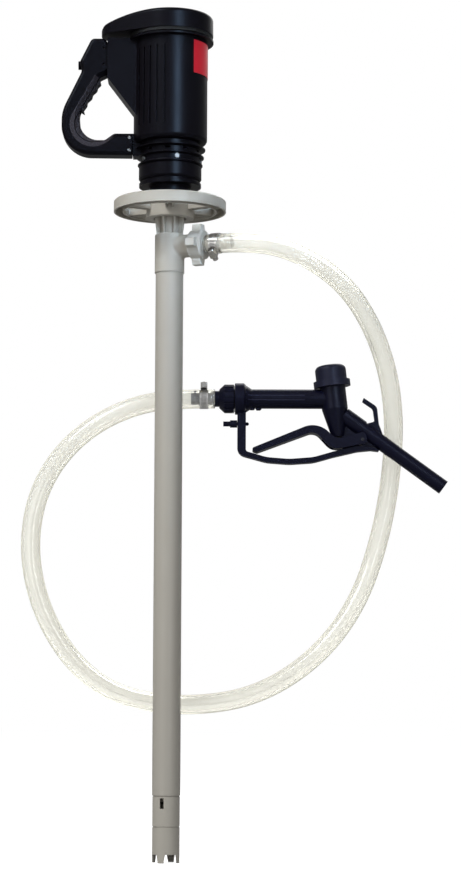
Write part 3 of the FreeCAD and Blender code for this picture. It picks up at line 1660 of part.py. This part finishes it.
def hose():
    points = hose_points()
    path, radii = hose_path(points)
    start = points[0]
    along = points[1] - start
    solids = []
    for radius in (s.hose_r.value, s.hose_r.value - s.hose_wall.value):
        ring = Part.Wire(Part.makeCircle(radius, start, along))
        solids.append(path.makePipeShell([ring], True, False))
    tube = solids[0].cut(solids[1])
    section = math.pi * (s.hose_r.value ** 2 - (s.hose_r.value - s.hose_wall.value) ** 2)
    print(f"hose radii {min(radii):.0f} to {max(radii):.0f}, length {path.Length:.0f}")
    print(f"hose volume {tube.Volume:.0f} against section times length {section * path.Length:.0f}")
    item = doc.addObject("Part::Feature", "hose")
    item.Shape = tube.Solids[0]
    item.Placement = FreeCAD.Placement()


def build_pump():
    outer_tube()
    bearing_tube()
    pump_shaft()
    shaft_bushes()
    shaft_seal()
    pump_housing()
    impeller()
    foot_cage()
    discharge_head()
    hand_wheel()
    outlet_seal()
    outlet_hose_tail()
    wing_nut()
    outlet_clamp()
    nozzle_clamp()
    hose()


def build_motor():
    lower_collar()
    vent_neck()
    neck_screws()
    motor_housing()
    casing_label()
    top_cover()
    cover_seal()
    handle_shell("handle_front_shell", True)
    handle_shell("handle_rear_shell", False)
    switch_trigger()
    switch_block()
    handle_screws()
    cable_gland()
    bearings()
    bearing_bracket()
    stator()
    rotor_core()
    commutator()
    brush_gear()
    motor_shaft()
    cooling_fan()
    couplings()


def build_nozzle():
    nozzle_hose_tail()
    swivel_nut()
    swivel_seal()
    nozzle_body()
    nozzle_cap()
    valve_parts()
    lever()
    lever_pin()
    lever_guard()
    latch_pin()
    spout()


NODES = [
    "outer_tube", "bearing_tube", "pump_shaft", "shaft_bushes", "shaft_seal", "pump_housing",
    "impeller", "foot_cage", "discharge_head", "hand_wheel", "outlet_seal", "outlet_hose_tail",
    "wing_nut", "outlet_clamp_band", "outlet_clamp_housing", "outlet_clamp_screw",
    "nozzle_clamp_band", "nozzle_clamp_housing", "nozzle_clamp_screw", "hose",
    "lower_collar", "vent_neck", "neck_screws", "motor_housing", "casing_label", "top_cover",
    "cover_seal",
    "handle_front_shell", "handle_rear_shell", "switch_trigger", "switch_block", "handle_screws",
    "cable_gland",
    "lower_bearing", "upper_bearing", "bearing_bracket", "stator", "rotor_core", "commutator",
    "brush_holders", "carbon_brushes", "motor_shaft", "cooling_fan", "drive_coupling",
    "pump_coupling", "nozzle_hose_tail", "swivel_nut", "swivel_seal", "nozzle_body", "nozzle_cap",
    "valve_stem", "valve_disc", "valve_spring", "stem_seal", "lever", "lever_pin", "lever_guard",
    "latch_pin", "spout",
]


def check_and_write():
    doc.recompute()
    failed = [
        item.Name for item in doc.Objects
        if "Invalid" in item.State or "Error" in item.State
    ]
    if failed:
        raise RuntimeError(f"failed objects: {failed}")
    os.makedirs("parts", exist_ok=True)
    for name in NODES:
        item = doc.getObject(name)
        shape = item.Shape
        if shape.isNull() or not shape.isValid() or not shape.Solids:
            raise RuntimeError(f"{name} has no valid shape")
        item.Label = name
        shape.exportStep(f"parts/{name}.step")


build_pump()
build_motor()
build_nozzle()
check_and_write()
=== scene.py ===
import json
import math

import bmesh
import bpy
from mathutils import Matrix, Vector


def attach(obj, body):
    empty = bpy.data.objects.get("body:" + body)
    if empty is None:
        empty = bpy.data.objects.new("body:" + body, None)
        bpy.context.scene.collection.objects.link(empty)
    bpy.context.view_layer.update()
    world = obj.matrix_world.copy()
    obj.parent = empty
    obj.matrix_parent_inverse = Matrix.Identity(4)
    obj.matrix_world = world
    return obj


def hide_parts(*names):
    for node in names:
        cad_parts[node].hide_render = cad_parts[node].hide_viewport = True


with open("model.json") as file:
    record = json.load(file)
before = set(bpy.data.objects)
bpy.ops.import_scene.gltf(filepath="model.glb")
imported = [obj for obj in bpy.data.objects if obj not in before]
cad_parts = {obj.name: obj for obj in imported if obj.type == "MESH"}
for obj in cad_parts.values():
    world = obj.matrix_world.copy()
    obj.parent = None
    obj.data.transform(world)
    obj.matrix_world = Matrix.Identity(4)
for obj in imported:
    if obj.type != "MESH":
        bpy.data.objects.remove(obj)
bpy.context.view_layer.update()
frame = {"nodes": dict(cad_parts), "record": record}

nodes = frame["nodes"]


# Materials: sockets as values, nodes by one method

class Value:
    """A number, colour or vector socket that takes part in sums."""

    def __init__(self, finish, socket):
        self.finish = finish
        self.socket = socket

    def maths(self, operation, first, second=0.0):
        node = self.finish.node("ShaderNodeMath", {"operation": operation}, {0: first, 1: second})
        return self.finish.out(node)

    def __add__(self, other):
        return self.maths("ADD", self, other)

    def __sub__(self, other):
        return self.maths("SUBTRACT", self, other)

    def __rsub__(self, other):
        return self.maths("SUBTRACT", other, self)

    def __mul__(self, other):
        return self.maths("MULTIPLY", self, other)

    __radd__ = __add__

    def below(self, limit):
        return self.maths("LESS_THAN", self, limit)

    def above(self, limit):
        return self.maths("GREATER_THAN", self, limit)

    def size(self):
        return self.maths("ABSOLUTE", self)

    def least(self, limit):
        return self.maths("MINIMUM", self, limit)

    def most(self, limit):
        return self.maths("MAXIMUM", self, limit)

    def root(self):
        return self.maths("SQRT", self)

    def part_turn(self):
        """What is left over whole numbers."""
        return self.maths("FRACT", self)

    def bearing(self, across):
        return self.maths("ARCTAN2", self, across)


class Finish:
    """A material or a world made of nodes."""

    def __init__(self, holder):
        self.holder = holder
        holder.use_nodes = True
        self.tree = holder.node_tree
        self.tree.nodes.clear()

    def node(self, kind, settings=None, sockets=None):
        node = self.tree.nodes.new(kind)
        for name, setting in (settings or {}).items():
            if name == "stops":
                ramp = node.color_ramp
                while len(ramp.elements) < len(setting):
                    ramp.elements.new(1)
                for element, (place, shade) in zip(ramp.elements, setting):
                    element.position = place
                    element.color = (*shade, 1)
            else:
                setattr(node, name, setting)
        for name, value in (sockets or {}).items():
            if isinstance(value, Value):
                self.tree.links.new(value.socket, node.inputs[name])
            elif isinstance(value, tuple) and len(value) == 3 and node.inputs[name].type == "RGBA":
                node.inputs[name].default_value = (*value, 1)
            else:
                node.inputs[name].default_value = value
        return node

    def out(self, node, name=0):
        return Value(self, node.outputs[name])

    def place(self):
        """Places on the object in metres."""
        return self.out(self.node("ShaderNodeTexCoord"), "Object")

    def stretched(self, place, scale):
        return self.out(self.node("ShaderNodeMapping", {}, {"Vector": place, "Scale": scale}))

    def along(self, centre, direction):
        """How far a place lies from the centre in a direction."""
        away = self.node(
            "ShaderNodeVectorMath", {"operation": "SUBTRACT"}, {0: self.place(), 1: centre})
        return self.lean(self.out(away), direction)

    def lean(self, vector, direction):
        """The share of a vector that points in a direction."""
        node = self.node(
            "ShaderNodeVectorMath", {"operation": "DOT_PRODUCT"}, {0: vector, 1: direction})
        return self.out(node, "Value")

    def noise(self, scale, detail=3, stretch=(1, 1, 1), place=None):
        node = self.node("ShaderNodeTexNoise", {}, {
            "Vector": self.stretched(place or self.place(), stretch),
            "Scale": scale,
            "Detail": detail})
        return self.out(node)

    def pebbles(self, scale):
        node = self.node("ShaderNodeTexVoronoi", {"feature": "SMOOTH_F1"}, {
            "Vector": self.place(), "Scale": scale})
        return self.out(node, "Distance")

    def blend(self, factor, low, high):
        node = self.node("ShaderNodeMix", {"data_type": "RGBA"}, {0: factor, 6: low, 7: high})
        return self.out(node, 2)

    def ramp(self, value, stops):
        node = self.node("ShaderNodeValToRGB", {"stops": stops}, {"Fac": value})
        return self.out(node)

    def rounded(self, radius):
        """Normals that turn smoothly over an edge."""
        return self.out(self.node("ShaderNodeBevel", {"samples": 4}, {"Radius": radius}))

    def relief(self, height, strength, distance, radius=0.0006):
        """A raised pattern, over edges rounded by this radius if there is one."""
        sockets = {"Height": height, "Strength": strength, "Distance": distance}
        if radius:
            sockets["Normal"] = self.rounded(radius)
        return self.out(self.node("ShaderNodeBump", {}, sockets))

    def surface(self, sockets):
        shader = self.node("ShaderNodeBsdfPrincipled", {}, sockets)
        end = self.node("ShaderNodeOutputMaterial")
        self.tree.links.new(shader.outputs[0], end.inputs[0])
        return self.holder

    def filled_with(self, kind, sockets):
        """What the light goes through inside the walls."""
        end = next(node for node in self.tree.nodes if node.type == "OUTPUT_MATERIAL")
        self.tree.links.new(self.node(kind, {}, sockets).outputs[0], end.inputs["Volume"])


# How fine the patterns are, in waves to the metre, and how deep in metres
PLASTIC_GRAIN = 1500
LABEL_GRAIN = 400
METAL_LINES = 1800
PEBBLES = 520
SLOW_SHADE = 14
GRAIN_DEPTH = 0.00005

# Worm clamps: slots round each band, painted dark as painted shade
BAND_SLOTS = 44
BAND_SLOT_HALF = 0.0038
BAND_BRIGHT, BAND_SLOT_PAINTED_SHADE = (0.78, 0.77, 0.75), (0.2, 0.195, 0.19)
OUTLET_ALONG = Vector((0.906308, -0.422618, 0))
OUTLET_BAND = OUTLET_ALONG * 0.0765 + Vector((0, 0, 0.039))
NOZZLE_BAND = Vector((0.0514, 0.062, -0.1797))

# The handle's groove: round the bend, then up along the grip
GRIP_BEND = (-0.115, 0, 0.223)
GRIP_UP = (0.49, 0, 0.872)
GRIP_OUT = (-0.872, 0, 0.49)
GRIP_LINE = 0.0355
GRIP_STEP = 0.0275
GRIP_TOP = 0.066
GROOVE_HALF = 0.0007

# The nozzle barrel's two ribs, above and below its axis
BARREL_START = (0.1175, 0.062, -0.1797)
BARREL_RIBS = 0.085
RIB_ABOVE = 0.0041
RIB_BELOW = 0.0028
RIB_HALF = 0.0005


def new_finish(name):
    return Finish(bpy.data.materials.new(name))


def worn_gloss(slow, fine, rough):
    return slow * 0.14 + fine * 0.06 + (rough - 0.1)


def moulded(name, colour, shade, rough, gloss, grain=PLASTIC_GRAIN, tint=(1, 1, 1)):
    """Moulded plastic: a fine grain, slow changes of shade and of gloss."""
    finish = new_finish(name)
    slow = finish.noise(SLOW_SHADE, 4)
    fine = finish.noise(grain, 2)
    return finish.surface({
        "Base Color": finish.blend(slow, colour, shade),
        "Roughness": worn_gloss(slow, fine, rough),
        "Specular IOR Level": gloss,
        "Specular Tint": tint,
        "Normal": finish.relief(fine, 0.25, GRAIN_DEPTH),
    })


def pebbled(name, colour, shade, rough, gloss):
    """Soft grip plastic with a pebbled face, darker in the pebbles' hollows as painted shade."""
    finish = new_finish(name)
    pebble = finish.pebbles(PEBBLES)
    return finish.surface({
        # Painted shade: the colour darkens into the pebbles' hollows
        "Base Color": finish.blend(pebble, shade, colour),
        "Roughness": pebble * 0.2 + rough,
        "Specular IOR Level": gloss,
        "Normal": finish.relief(pebble, 0.5, 0.0004),
    })


def grip_moulding_painted_light(name, colour, shade, rough, gloss, tint):
    """The handle's plastic: a groove round the hand's side and a pebbled face inside it, the face
    painted lighter as a painted highlight.
    """
    finish = new_finish(name)
    up = finish.along(GRIP_BEND, GRIP_UP)
    out = finish.along(GRIP_BEND, GRIP_OUT)
    low = up.least(0)
    reach = (out * out + low * low).root()
    under = up.below(GRIP_TOP)
    inside = reach.below(GRIP_LINE) * under
    groove = ((reach - GRIP_LINE).size().below(GROOVE_HALF)
              + (reach - GRIP_STEP).size().below(GROOVE_HALF)) * under
    pebble = finish.pebbles(PEBBLES)
    return finish.surface({
        # Painted highlight: the pebbled face is painted lighter; painted shade: the grooves stay
        # black and the pebbles' hollows are darker
        "Base Color": finish.blend(inside * (1 - groove) * (0.45 + pebble * 0.9), colour, shade),
        "Roughness": inside * 0.16 + rough,
        "Specular IOR Level": gloss,
        "Specular Tint": tint,
        "Normal": finish.relief(pebble * inside * 0.4 - groove, 0.6, 0.0005),
    })


def ribbed_barrel_painted_highlight(name, colour, shade, rough, gloss, tint):
    """The nozzle's plastic with two fine ribs along its barrel, painted lighter as a painted
    highlight.
    """
    finish = new_finish(name)
    high = finish.along(BARREL_START, (0, 0, 1))
    far = finish.along(BARREL_START, (1, 0, 0))
    across = (high - RIB_ABOVE).size().below(RIB_HALF) + (high + RIB_BELOW).size().below(RIB_HALF)
    rib = across * far.above(0) * far.below(BARREL_RIBS)
    fine = finish.noise(PLASTIC_GRAIN, 2)
    slow = finish.noise(SLOW_SHADE, 4)
    return finish.surface({
        # Painted highlight: the ribs take the lighter second colour
        "Base Color": finish.blend(rib, colour, shade),
        "Roughness": worn_gloss(slow, fine, rough),
        "Specular IOR Level": gloss,
        "Specular Tint": tint,
        "Normal": finish.relief(fine * 0.06 + rib, 0.4, 0.0005),
    })


def drawn_tube(name, colour, shade):
    """Extruded pipe: faint lines along its length."""
    finish = new_finish(name)
    lines = finish.noise(260, 3, (1, 1, 0.02))
    slow = finish.noise(9, 3)
    return finish.surface({
        "Base Color": finish.blend(slow * 0.6 + lines * 0.4, colour, shade),
        "Roughness": lines * 0.12 + slow * 0.1 + 0.24,
        "Specular IOR Level": 0.4,
        "Normal": finish.relief(lines, 0.12, 0.0001),
    })


def bright_metal(name, colour, shade, rough, stretch=(1, 1, 1)):
    finish = new_finish(name)
    lines = finish.noise(METAL_LINES, 2, stretch)
    slow = finish.noise(60, 3)
    return finish.surface({
        "Base Color": finish.blend(slow, colour, shade),
        "Metallic": 1.0,
        "Roughness": lines * 0.16 + slow * 0.08 + (rough - 0.1),
        "Normal": finish.relief(lines, 0.12, 0.00003),
    })


def slotted_band(name, centre, axis, across, up):
    """A worm clamp's band: bright, with slots pressed across it for the worm, painted dark as
    painted shade.
    """
    finish = new_finish(name)
    turn = finish.along(centre, up).bearing(finish.along(centre, across))
    phase = (turn * (BAND_SLOTS / (2 * math.pi))).part_turn()
    slot = phase.below(0.4) * finish.along(centre, axis).size().below(BAND_SLOT_HALF)
    lines = finish.noise(METAL_LINES, 2)
    return finish.surface({
        # Painted shade: the slots take the dark colour
        "Base Color": finish.blend(slot, BAND_BRIGHT, BAND_SLOT_PAINTED_SHADE),
        "Metallic": 1.0,
        "Roughness": lines * 0.16 + slot * 0.25 + 0.12,
        "Normal": finish.relief(1 - slot, 0.6, 0.0003, 0.0003),
    })


def clear_hose(name):
    """Clear plasticised hose: cream through its thick walls, with draw marks along it."""
    finish = new_finish(name)
    lay = finish.out(finish.node("ShaderNodeAttribute", {"attribute_name": "lay"}), "Vector")
    marks = finish.noise(3.4, 3, (1, 1, 0.35), lay)
    slow = finish.noise(1.2, 2, (1, 1, 2.5), lay)
    hose = finish.surface({
        "Base Color": finish.ramp(marks * 0.8 + slow * 0.2, (
            (0.3, (0.86, 0.855, 0.82)), (0.46, (0.985, 0.98, 0.96)), (0.6, (1.0, 1.0, 0.99)))),
        "Roughness": marks * 0.1 + 0.05,
        "IOR": 1.38,
        "Transmission Weight": 0.84,
        "Specular IOR Level": 0.5,
        "Normal": finish.relief(marks, 0.05, 0.0003, None),
    })
    finish.filled_with("ShaderNodeVolumeAbsorption", {"Color": (0.88, 0.87, 0.78), "Density": 75.0})
    return hose


# Each finish: its colour, the colour that it shades to, and the tint of its gloss
BLACK, BLACK_SHADE = (0.0028, 0.0022, 0.0034), (0.004, 0.0032, 0.0048)
BLACK_TINT = (0.72, 0.84, 1.0)
INK, INK_SHADE = (0.0025, 0.0026, 0.01), (0.004, 0.0042, 0.014)
INK_TINT = (0.78, 0.82, 1.0)
LOOKS = {
    "pump_grey": moulded(
        "pale_grey_polypropylene", (0.47, 0.445, 0.39), (0.42, 0.395, 0.345), 0.42, 0.35),
    "fitting_white": moulded(
        "white_grey_fitting", (0.62, 0.61, 0.565), (0.55, 0.54, 0.495), 0.38, 0.45),
    "motor_black": moulded("black_motor_plastic", BLACK, BLACK_SHADE, 0.33, 0.08, tint=BLACK_TINT),
    "nozzle_black": moulded("blue_black_nozzle_plastic", INK, INK_SHADE, 0.36, 0.15, tint=INK_TINT),
    "label_red": moulded(
        "red_label_film", (0.62, 0.012, 0.026), (0.54, 0.01, 0.022), 0.34, 0.25, LABEL_GRAIN),
    "stainless": bright_metal("bright_stainless", (0.62, 0.61, 0.59), (0.45, 0.44, 0.42), 0.2),
    "machine_steel": bright_metal(
        "machined_steel", (0.5, 0.5, 0.5), (0.4, 0.4, 0.4), 0.35, (1, 1, 20)),
    "copper": bright_metal("copper_bars", (0.72, 0.4, 0.25), (0.6, 0.33, 0.2), 0.35),
    "carbon": moulded("carbon_block", (0.03, 0.03, 0.03), (0.05, 0.05, 0.05), 0.7, 0.3),
    "seal_rubber": moulded(
        "black_seal_rubber", (0.008, 0.008, 0.008), (0.014, 0.014, 0.014), 0.7, 0.2),
    "inner_plastic": moulded(
        "cream_inner_plastic", (0.62, 0.6, 0.52), (0.55, 0.53, 0.46), 0.45, 0.4),
    "hose_clear": clear_hose("clear_hose"),
}
PIPE = drawn_tube("grey_pipe", (0.46, 0.435, 0.385), (0.415, 0.39, 0.34))
DARK_STEEL = bright_metal("blackened_steel", (0.05, 0.05, 0.055), (0.03, 0.03, 0.035), 0.4)
SCREW_STEEL = bright_metal("screw_steel", (0.24, 0.24, 0.24), (0.14, 0.14, 0.14), 0.45)
# Its second colour is the painted shade in the pebbles' hollows
GRIP = pebbled("pebbled_grip", (0.02, 0.017, 0.021), (0.004, 0.0035, 0.0045), 0.5, 0.12)
# Its second colour is the painted highlight of the pebbled face
HANDLE = grip_moulding_painted_light("handle_plastic", BLACK, (0.038, 0.033, 0.038), 0.33, 0.08, BLACK_TINT)
# Its second colour is the ribs' painted highlight
BARREL = ribbed_barrel_painted_highlight("nozzle_barrel_plastic", INK, (0.03, 0.031, 0.06), 0.36, 0.17, INK_TINT)
CAP = moulded(
    "nozzle_cap_plastic", (0.009, 0.0095, 0.022), (0.014, 0.0145, 0.03), 0.42, 0.2, tint=INK_TINT)
OWN_LOOKS = {
    "handle_front_shell": HANDLE,
    "handle_rear_shell": HANDLE,
    "nozzle_body": BARREL,
    "nozzle_cap": CAP,
    "outer_tube": PIPE,
    "bearing_tube": PIPE,
    "lever_pin": DARK_STEEL,
    "valve_stem": DARK_STEEL,
    "handle_screws": SCREW_STEEL,
    "neck_screws": SCREW_STEEL,
    "switch_trigger": GRIP,
    "outlet_clamp_band": slotted_band(
        "outlet_band_steel", OUTLET_BAND, OUTLET_ALONG, (0.422618, 0.906308, 0), (0, 0, 1)),
    "nozzle_clamp_band": slotted_band(
        "nozzle_band_steel", NOZZLE_BAND, (1, 0, 0), (0, 1, 0), (0, 0, 1)),
}


def paint(piece, look):
    if not piece.material_slots:
        piece.data.materials.append(look)
    for held in piece.material_slots:
        held.material = look


for part in frame["record"]["subparts"]:
    name = part["node"]
    paint(nodes[name], OWN_LOOKS.get(name) or LOOKS[part["material_slot"]])


# Hose: a smooth line from the outlet's tail round behind the tube to the nozzle

HOSE_POINTS = [
    (0.0571, -0.0266, 0.039), (0.12507, -0.05832, 0.039),
    (0.198, -0.065, 0.017), (0.259, -0.044, -0.023), (0.3, 0.002, -0.075),
    (0.327, 0.053, -0.135), (0.339, 0.092, -0.199), (0.338, 0.113, -0.265),
    (0.329, 0.117, -0.335), (0.312, 0.108, -0.406), (0.286, 0.093, -0.477),
    (0.244, 0.079, -0.541), (0.187, 0.068, -0.592), (0.122, 0.062, -0.625),
    (0.054, 0.061, -0.637), (-0.014, 0.062, -0.636), (-0.083, 0.063, -0.62),
    (-0.141, 0.064, -0.576), (-0.182, 0.065, -0.513), (-0.204, 0.065, -0.446),
    (-0.208, 0.064, -0.38), (-0.194, 0.063, -0.316), (-0.16, 0.062, -0.26),
    (-0.111, 0.062, -0.217), (-0.05, 0.062, -0.189), (0.01, 0.062, -0.1797),
    (0.068, 0.062, -0.1797),
]
HOSE_OUTSIDE = 0.0143
HOSE_INSIDE = 0.0095


def smooth_line(points):
    """Points along the route's own NURBS spline."""
    curve = bpy.data.curves.new("hose_route", "CURVE")
    curve.dimensions = "3D"
    spline = curve.splines.new("NURBS")
    spline.points.add(len(points) - 1)
    for held, point in zip(spline.points, points):
        held.co = (*point, 1)
    spline.order_u = 3
    spline.use_endpoint_u = True
    curve.resolution_u = 18
    carrier = bpy.data.objects.new("hose_route", curve)
    bpy.context.collection.objects.link(carrier)
    bpy.context.view_layer.update()
    line = bpy.data.meshes.new_from_object(carrier)
    found = [Vector(vertex.co) for vertex in line.vertices]
    bpy.data.objects.remove(carrier)
    bpy.data.meshes.remove(line)
    return found


def tube_mesh(name, line, radii, around=56):
    """A tube along a line, with one wall for each radius, closed at its ends."""
    mesh = bmesh.new()
    lay = mesh.verts.layers.float_vector.new("lay")
    side = Vector((0, 0, 1))
    reach = 0
    walls = [[] for _ in radii]
    for index, point in enumerate(line):
        before, after = line[max(index - 1, 0)], line[min(index + 1, len(line) - 1)]
        reach += (point - before).length
        along = (after - before).normalized()
        side = (side - along * side.dot(along)).normalized()
        up = along.cross(side)
        for wall, radius in zip(walls, radii):
            ring = []
            for step in range(around):
                angle = 2 * math.pi * step / around
                outward = side * math.cos(angle) + up * math.sin(angle)
                ring.append(mesh.verts.new(point + outward * radius))
                ring[-1][lay] = (math.cos(angle), math.sin(angle), reach)
            wall.append(ring)
    for wall in walls:
        for low, high in zip(wall, wall[1:]):
            for step in range(around):
                after = (step + 1) % around
                mesh.faces.new((low[step], low[after], high[after], high[step]))
    for end in (0, -1):
        outer, inner = walls[0][end], walls[-1][end]
        for step in range(around):
            after = (step + 1) % around
            mesh.faces.new((outer[step], outer[after], inner[after], inner[step]))
    return finish_mesh(name, mesh)


def finish_mesh(name, mesh, smooth=True):
    bmesh.ops.recalc_face_normals(mesh, faces=mesh.faces)
    data = bpy.data.meshes.new(name)
    mesh.to_mesh(data)
    mesh.free()
    for face in data.polygons:
        face.use_smooth = smooth
    piece = bpy.data.objects.new(name, data)
    bpy.context.collection.objects.link(piece)
    return piece


hose_line = smooth_line(HOSE_POINTS)
hose = tube_mesh("clear_hose_run", hose_line, (HOSE_OUTSIDE, HOSE_INSIDE))
paint(hose, LOOKS["hose_clear"])
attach(hose, "pump_frame")
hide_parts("hose")


# Small pieces on the nozzle

def turned_ring(name, outline, setting, around=64):
    """A ring turned about local Z from (radius, height) corners, then set in its place."""
    mesh = bmesh.new()
    rings = []
    for step in range(around):
        angle = 2 * math.pi * step / around
        turn = Vector((math.cos(angle), math.sin(angle), 0))
        rings.append([
            mesh.verts.new(setting @ (turn * radius + Vector((0, 0, height))))
            for radius, height in outline])
    for ring, after in zip(rings, rings[1:] + rings[:1]):
        for corner in range(len(outline)):
            beyond = (corner + 1) % len(outline)
            mesh.faces.new((ring[corner], ring[beyond], after[beyond], after[corner]))
    piece = finish_mesh(name, mesh)
    soft = piece.modifiers.new("edges", "BEVEL")
    soft.width = 0.0003
    soft.segments = 2
    soft.limit_method = "ANGLE"
    return piece


def flat_piece(name, outline, thick, origin, soft_edge):
    """A plate of this thickness in Y with X, Z corners, its edges rounded."""
    mesh = bmesh.new()
    near, far = (
        [mesh.verts.new(origin + Vector((x, side * thick / 2, z))) for x, z in outline]
        for side in (-1, 1))
    mesh.faces.new(near)
    mesh.faces.new(far[::-1])
    for corner in range(len(outline)):
        after = (corner + 1) % len(outline)
        mesh.faces.new((near[corner], near[after], far[after], far[corner]))
    piece = finish_mesh(name, mesh, smooth=False)
    soft = piece.modifiers.new("edges", "BEVEL")
    soft.width = soft_edge
    soft.segments = 3
    return piece


NOZZLE_ORIGIN = Vector((0.0455, 0.062, -0.1797))
ALONG_X = Matrix.Rotation(math.radians(90), 4, "Y")

dust_ring = turned_ring(
    "swivel_dust_ring", [(0.0149, 0), (0.0198, 0), (0.0198, 0.0009), (0.0149, 0.0009)],
    Matrix.Translation(NOZZLE_ORIGIN + Vector((0.0512, 0, 0))) @ ALONG_X)
paint(dust_ring, LOOKS["seal_rubber"])
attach(dust_ring, "nozzle")

# The web's toe under the valve, and the two lugs under the barrel's near end
for name, outline, thick, edge in (
        ("valve_web_toe", [
            (0.2095, -0.0525), (0.2165, -0.055), (0.2235, -0.0598), (0.2195, -0.0612),
            (0.212, -0.0602), (0.2095, -0.057)], 0.006, 0.0004),
        ("barrel_lug_near", [
            (0.074, -0.0115), (0.074, -0.0152), (0.0755, -0.0168), (0.081, -0.0168),
            (0.0825, -0.0152), (0.0825, -0.0115)], 0.009, 0.0008),
        ("barrel_lug_far", [
            (0.0835, -0.0115), (0.0835, -0.0148), (0.0848, -0.0172), (0.0905, -0.0172),
            (0.0945, -0.0125), (0.0945, -0.0105)], 0.009, 0.0008)):
    piece = flat_piece(name, outline, thick, NOZZLE_ORIGIN, edge)
    paint(piece, LOOKS["nozzle_black"])
    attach(piece, "nozzle")


# Camera, floor and light

def aim(piece, place, target):
    piece.location = place
    piece.rotation_euler = (Vector(target) - Vector(place)).to_track_quat("-Z", "Y").to_euler()


LENS_MM = 98.5
SENSOR_MM = 36
CAMERA_PLACE = Vector((0.0915, -3.514, -0.6552))
PITCH, ROLL = math.radians(96.63), math.radians(0.2)

camera_data = bpy.data.cameras.new("camera")
camera_data.lens = LENS_MM
camera_data.sensor_width = SENSOR_MM
camera = bpy.data.objects.new("camera", camera_data)
camera.matrix_world = (
    Matrix.Translation(CAMERA_PLACE)
    @ Matrix.Rotation(PITCH, 4, "X")
    @ Matrix.Rotation(ROLL, 4, "Z"))
bpy.context.collection.objects.link(camera)
bpy.context.scene.camera = camera

FLOOR = -0.8645
FLOOR_SIZE = 30
FLOOR_SHADE = 0.9  # where it is seen directly
FLOOR_SOFT_SHADE = 0.35  # for the light that it throws back
FLOOR_GLOSS_SHARE = 0.05
AMBIENT = 0.25
GLOSS_SHARE = 0.06
FRONT_SHARE = 0.3  # more of the world's light in gloss that faces the front


def white_where_seen(finish, gloss_share):
    """1 for what the camera sees, also through glass, less in metal and gloss, 0 for soft light."""
    rays = finish.node("ShaderNodeLightPath")
    straight = finish.out(rays, "Is Camera Ray") + finish.out(rays, "Is Transmission Ray")
    mirrored = finish.out(rays, "Is Glossy Ray") * gloss_share
    return finish.out(finish.node("ShaderNodeClamp", {}, {"Value": straight + mirrored}))


def make_floor():
    mesh = bmesh.new()
    bmesh.ops.create_grid(mesh, x_segments=2, y_segments=2, size=FLOOR_SIZE)
    floor = finish_mesh("floor", mesh)
    floor.location.z = FLOOR
    finish = new_finish("pale_floor")
    glow = 1 - FLOOR_SHADE * AMBIENT
    seen = white_where_seen(finish, FLOOR_GLOSS_SHARE)
    paint(floor, finish.surface({
        "Base Color": finish.blend(seen, (FLOOR_SOFT_SHADE,) * 3, (FLOOR_SHADE,) * 3),
        "Roughness": 0.9,
        "Specular IOR Level": 0.0,
        "Emission Color": finish.blend(seen, (0, 0, 0), (glow, glow, glow)),
        "Emission Strength": 1.0,
    }))


def lamp(name, place, target, wide, tall, power, colour=(1, 1, 1), spread=180):
    data = bpy.data.lights.new(name, "AREA")
    data.shape = "RECTANGLE"
    data.size = wide
    data.size_y = tall
    data.energy = power
    data.color = colour
    data.spread = math.radians(spread)
    piece = bpy.data.objects.new(name, data)
    bpy.context.collection.objects.link(piece)
    aim(piece, place, target)


def make_world():
    world = bpy.data.worlds.new("studio")
    bpy.context.scene.world = world
    finish = Finish(world)
    direction = finish.out(finish.node("ShaderNodeTexCoord"), "Generated")
    front = finish.lean(direction, (0, -FRONT_SHARE, 0))
    level = white_where_seen(finish, front.most(0) + GLOSS_SHARE) * (1 - AMBIENT) + AMBIENT
    light = finish.node("ShaderNodeBackground", {}, {"Color": (1, 1, 1), "Strength": level})
    end = finish.node("ShaderNodeOutputWorld")
    finish.tree.links.new(light.outputs[0], end.inputs[0])


make_floor()
make_world()
lamp("key_light", (-1.8, -2.1, 2.6), (0, 0, -0.1), 1.4, 1.4, 105)
lamp("motor_light", (1.1, -2.6, 0.95), (0, 0, 0.28), 1.1, 0.55, 1.6, (0.6, 0.78, 1.0), 22)
lamp("strip_light", (1.3, -2.6, 0.0), (0.15, 0, -0.35), 0.3, 1.5, 12, (0.92, 0.96, 1.0))
lamp("fill_light", (-1.7, -2.7, -0.1), (0.1, 0, -0.2), 1.8, 1.1, 12)
lamp("back_light", (0.9, 2.4, 2.1), (0, 0, -0.1), 2.0, 2.0, 34)
bpy.context.scene.view_settings.view_transform = "Standard"
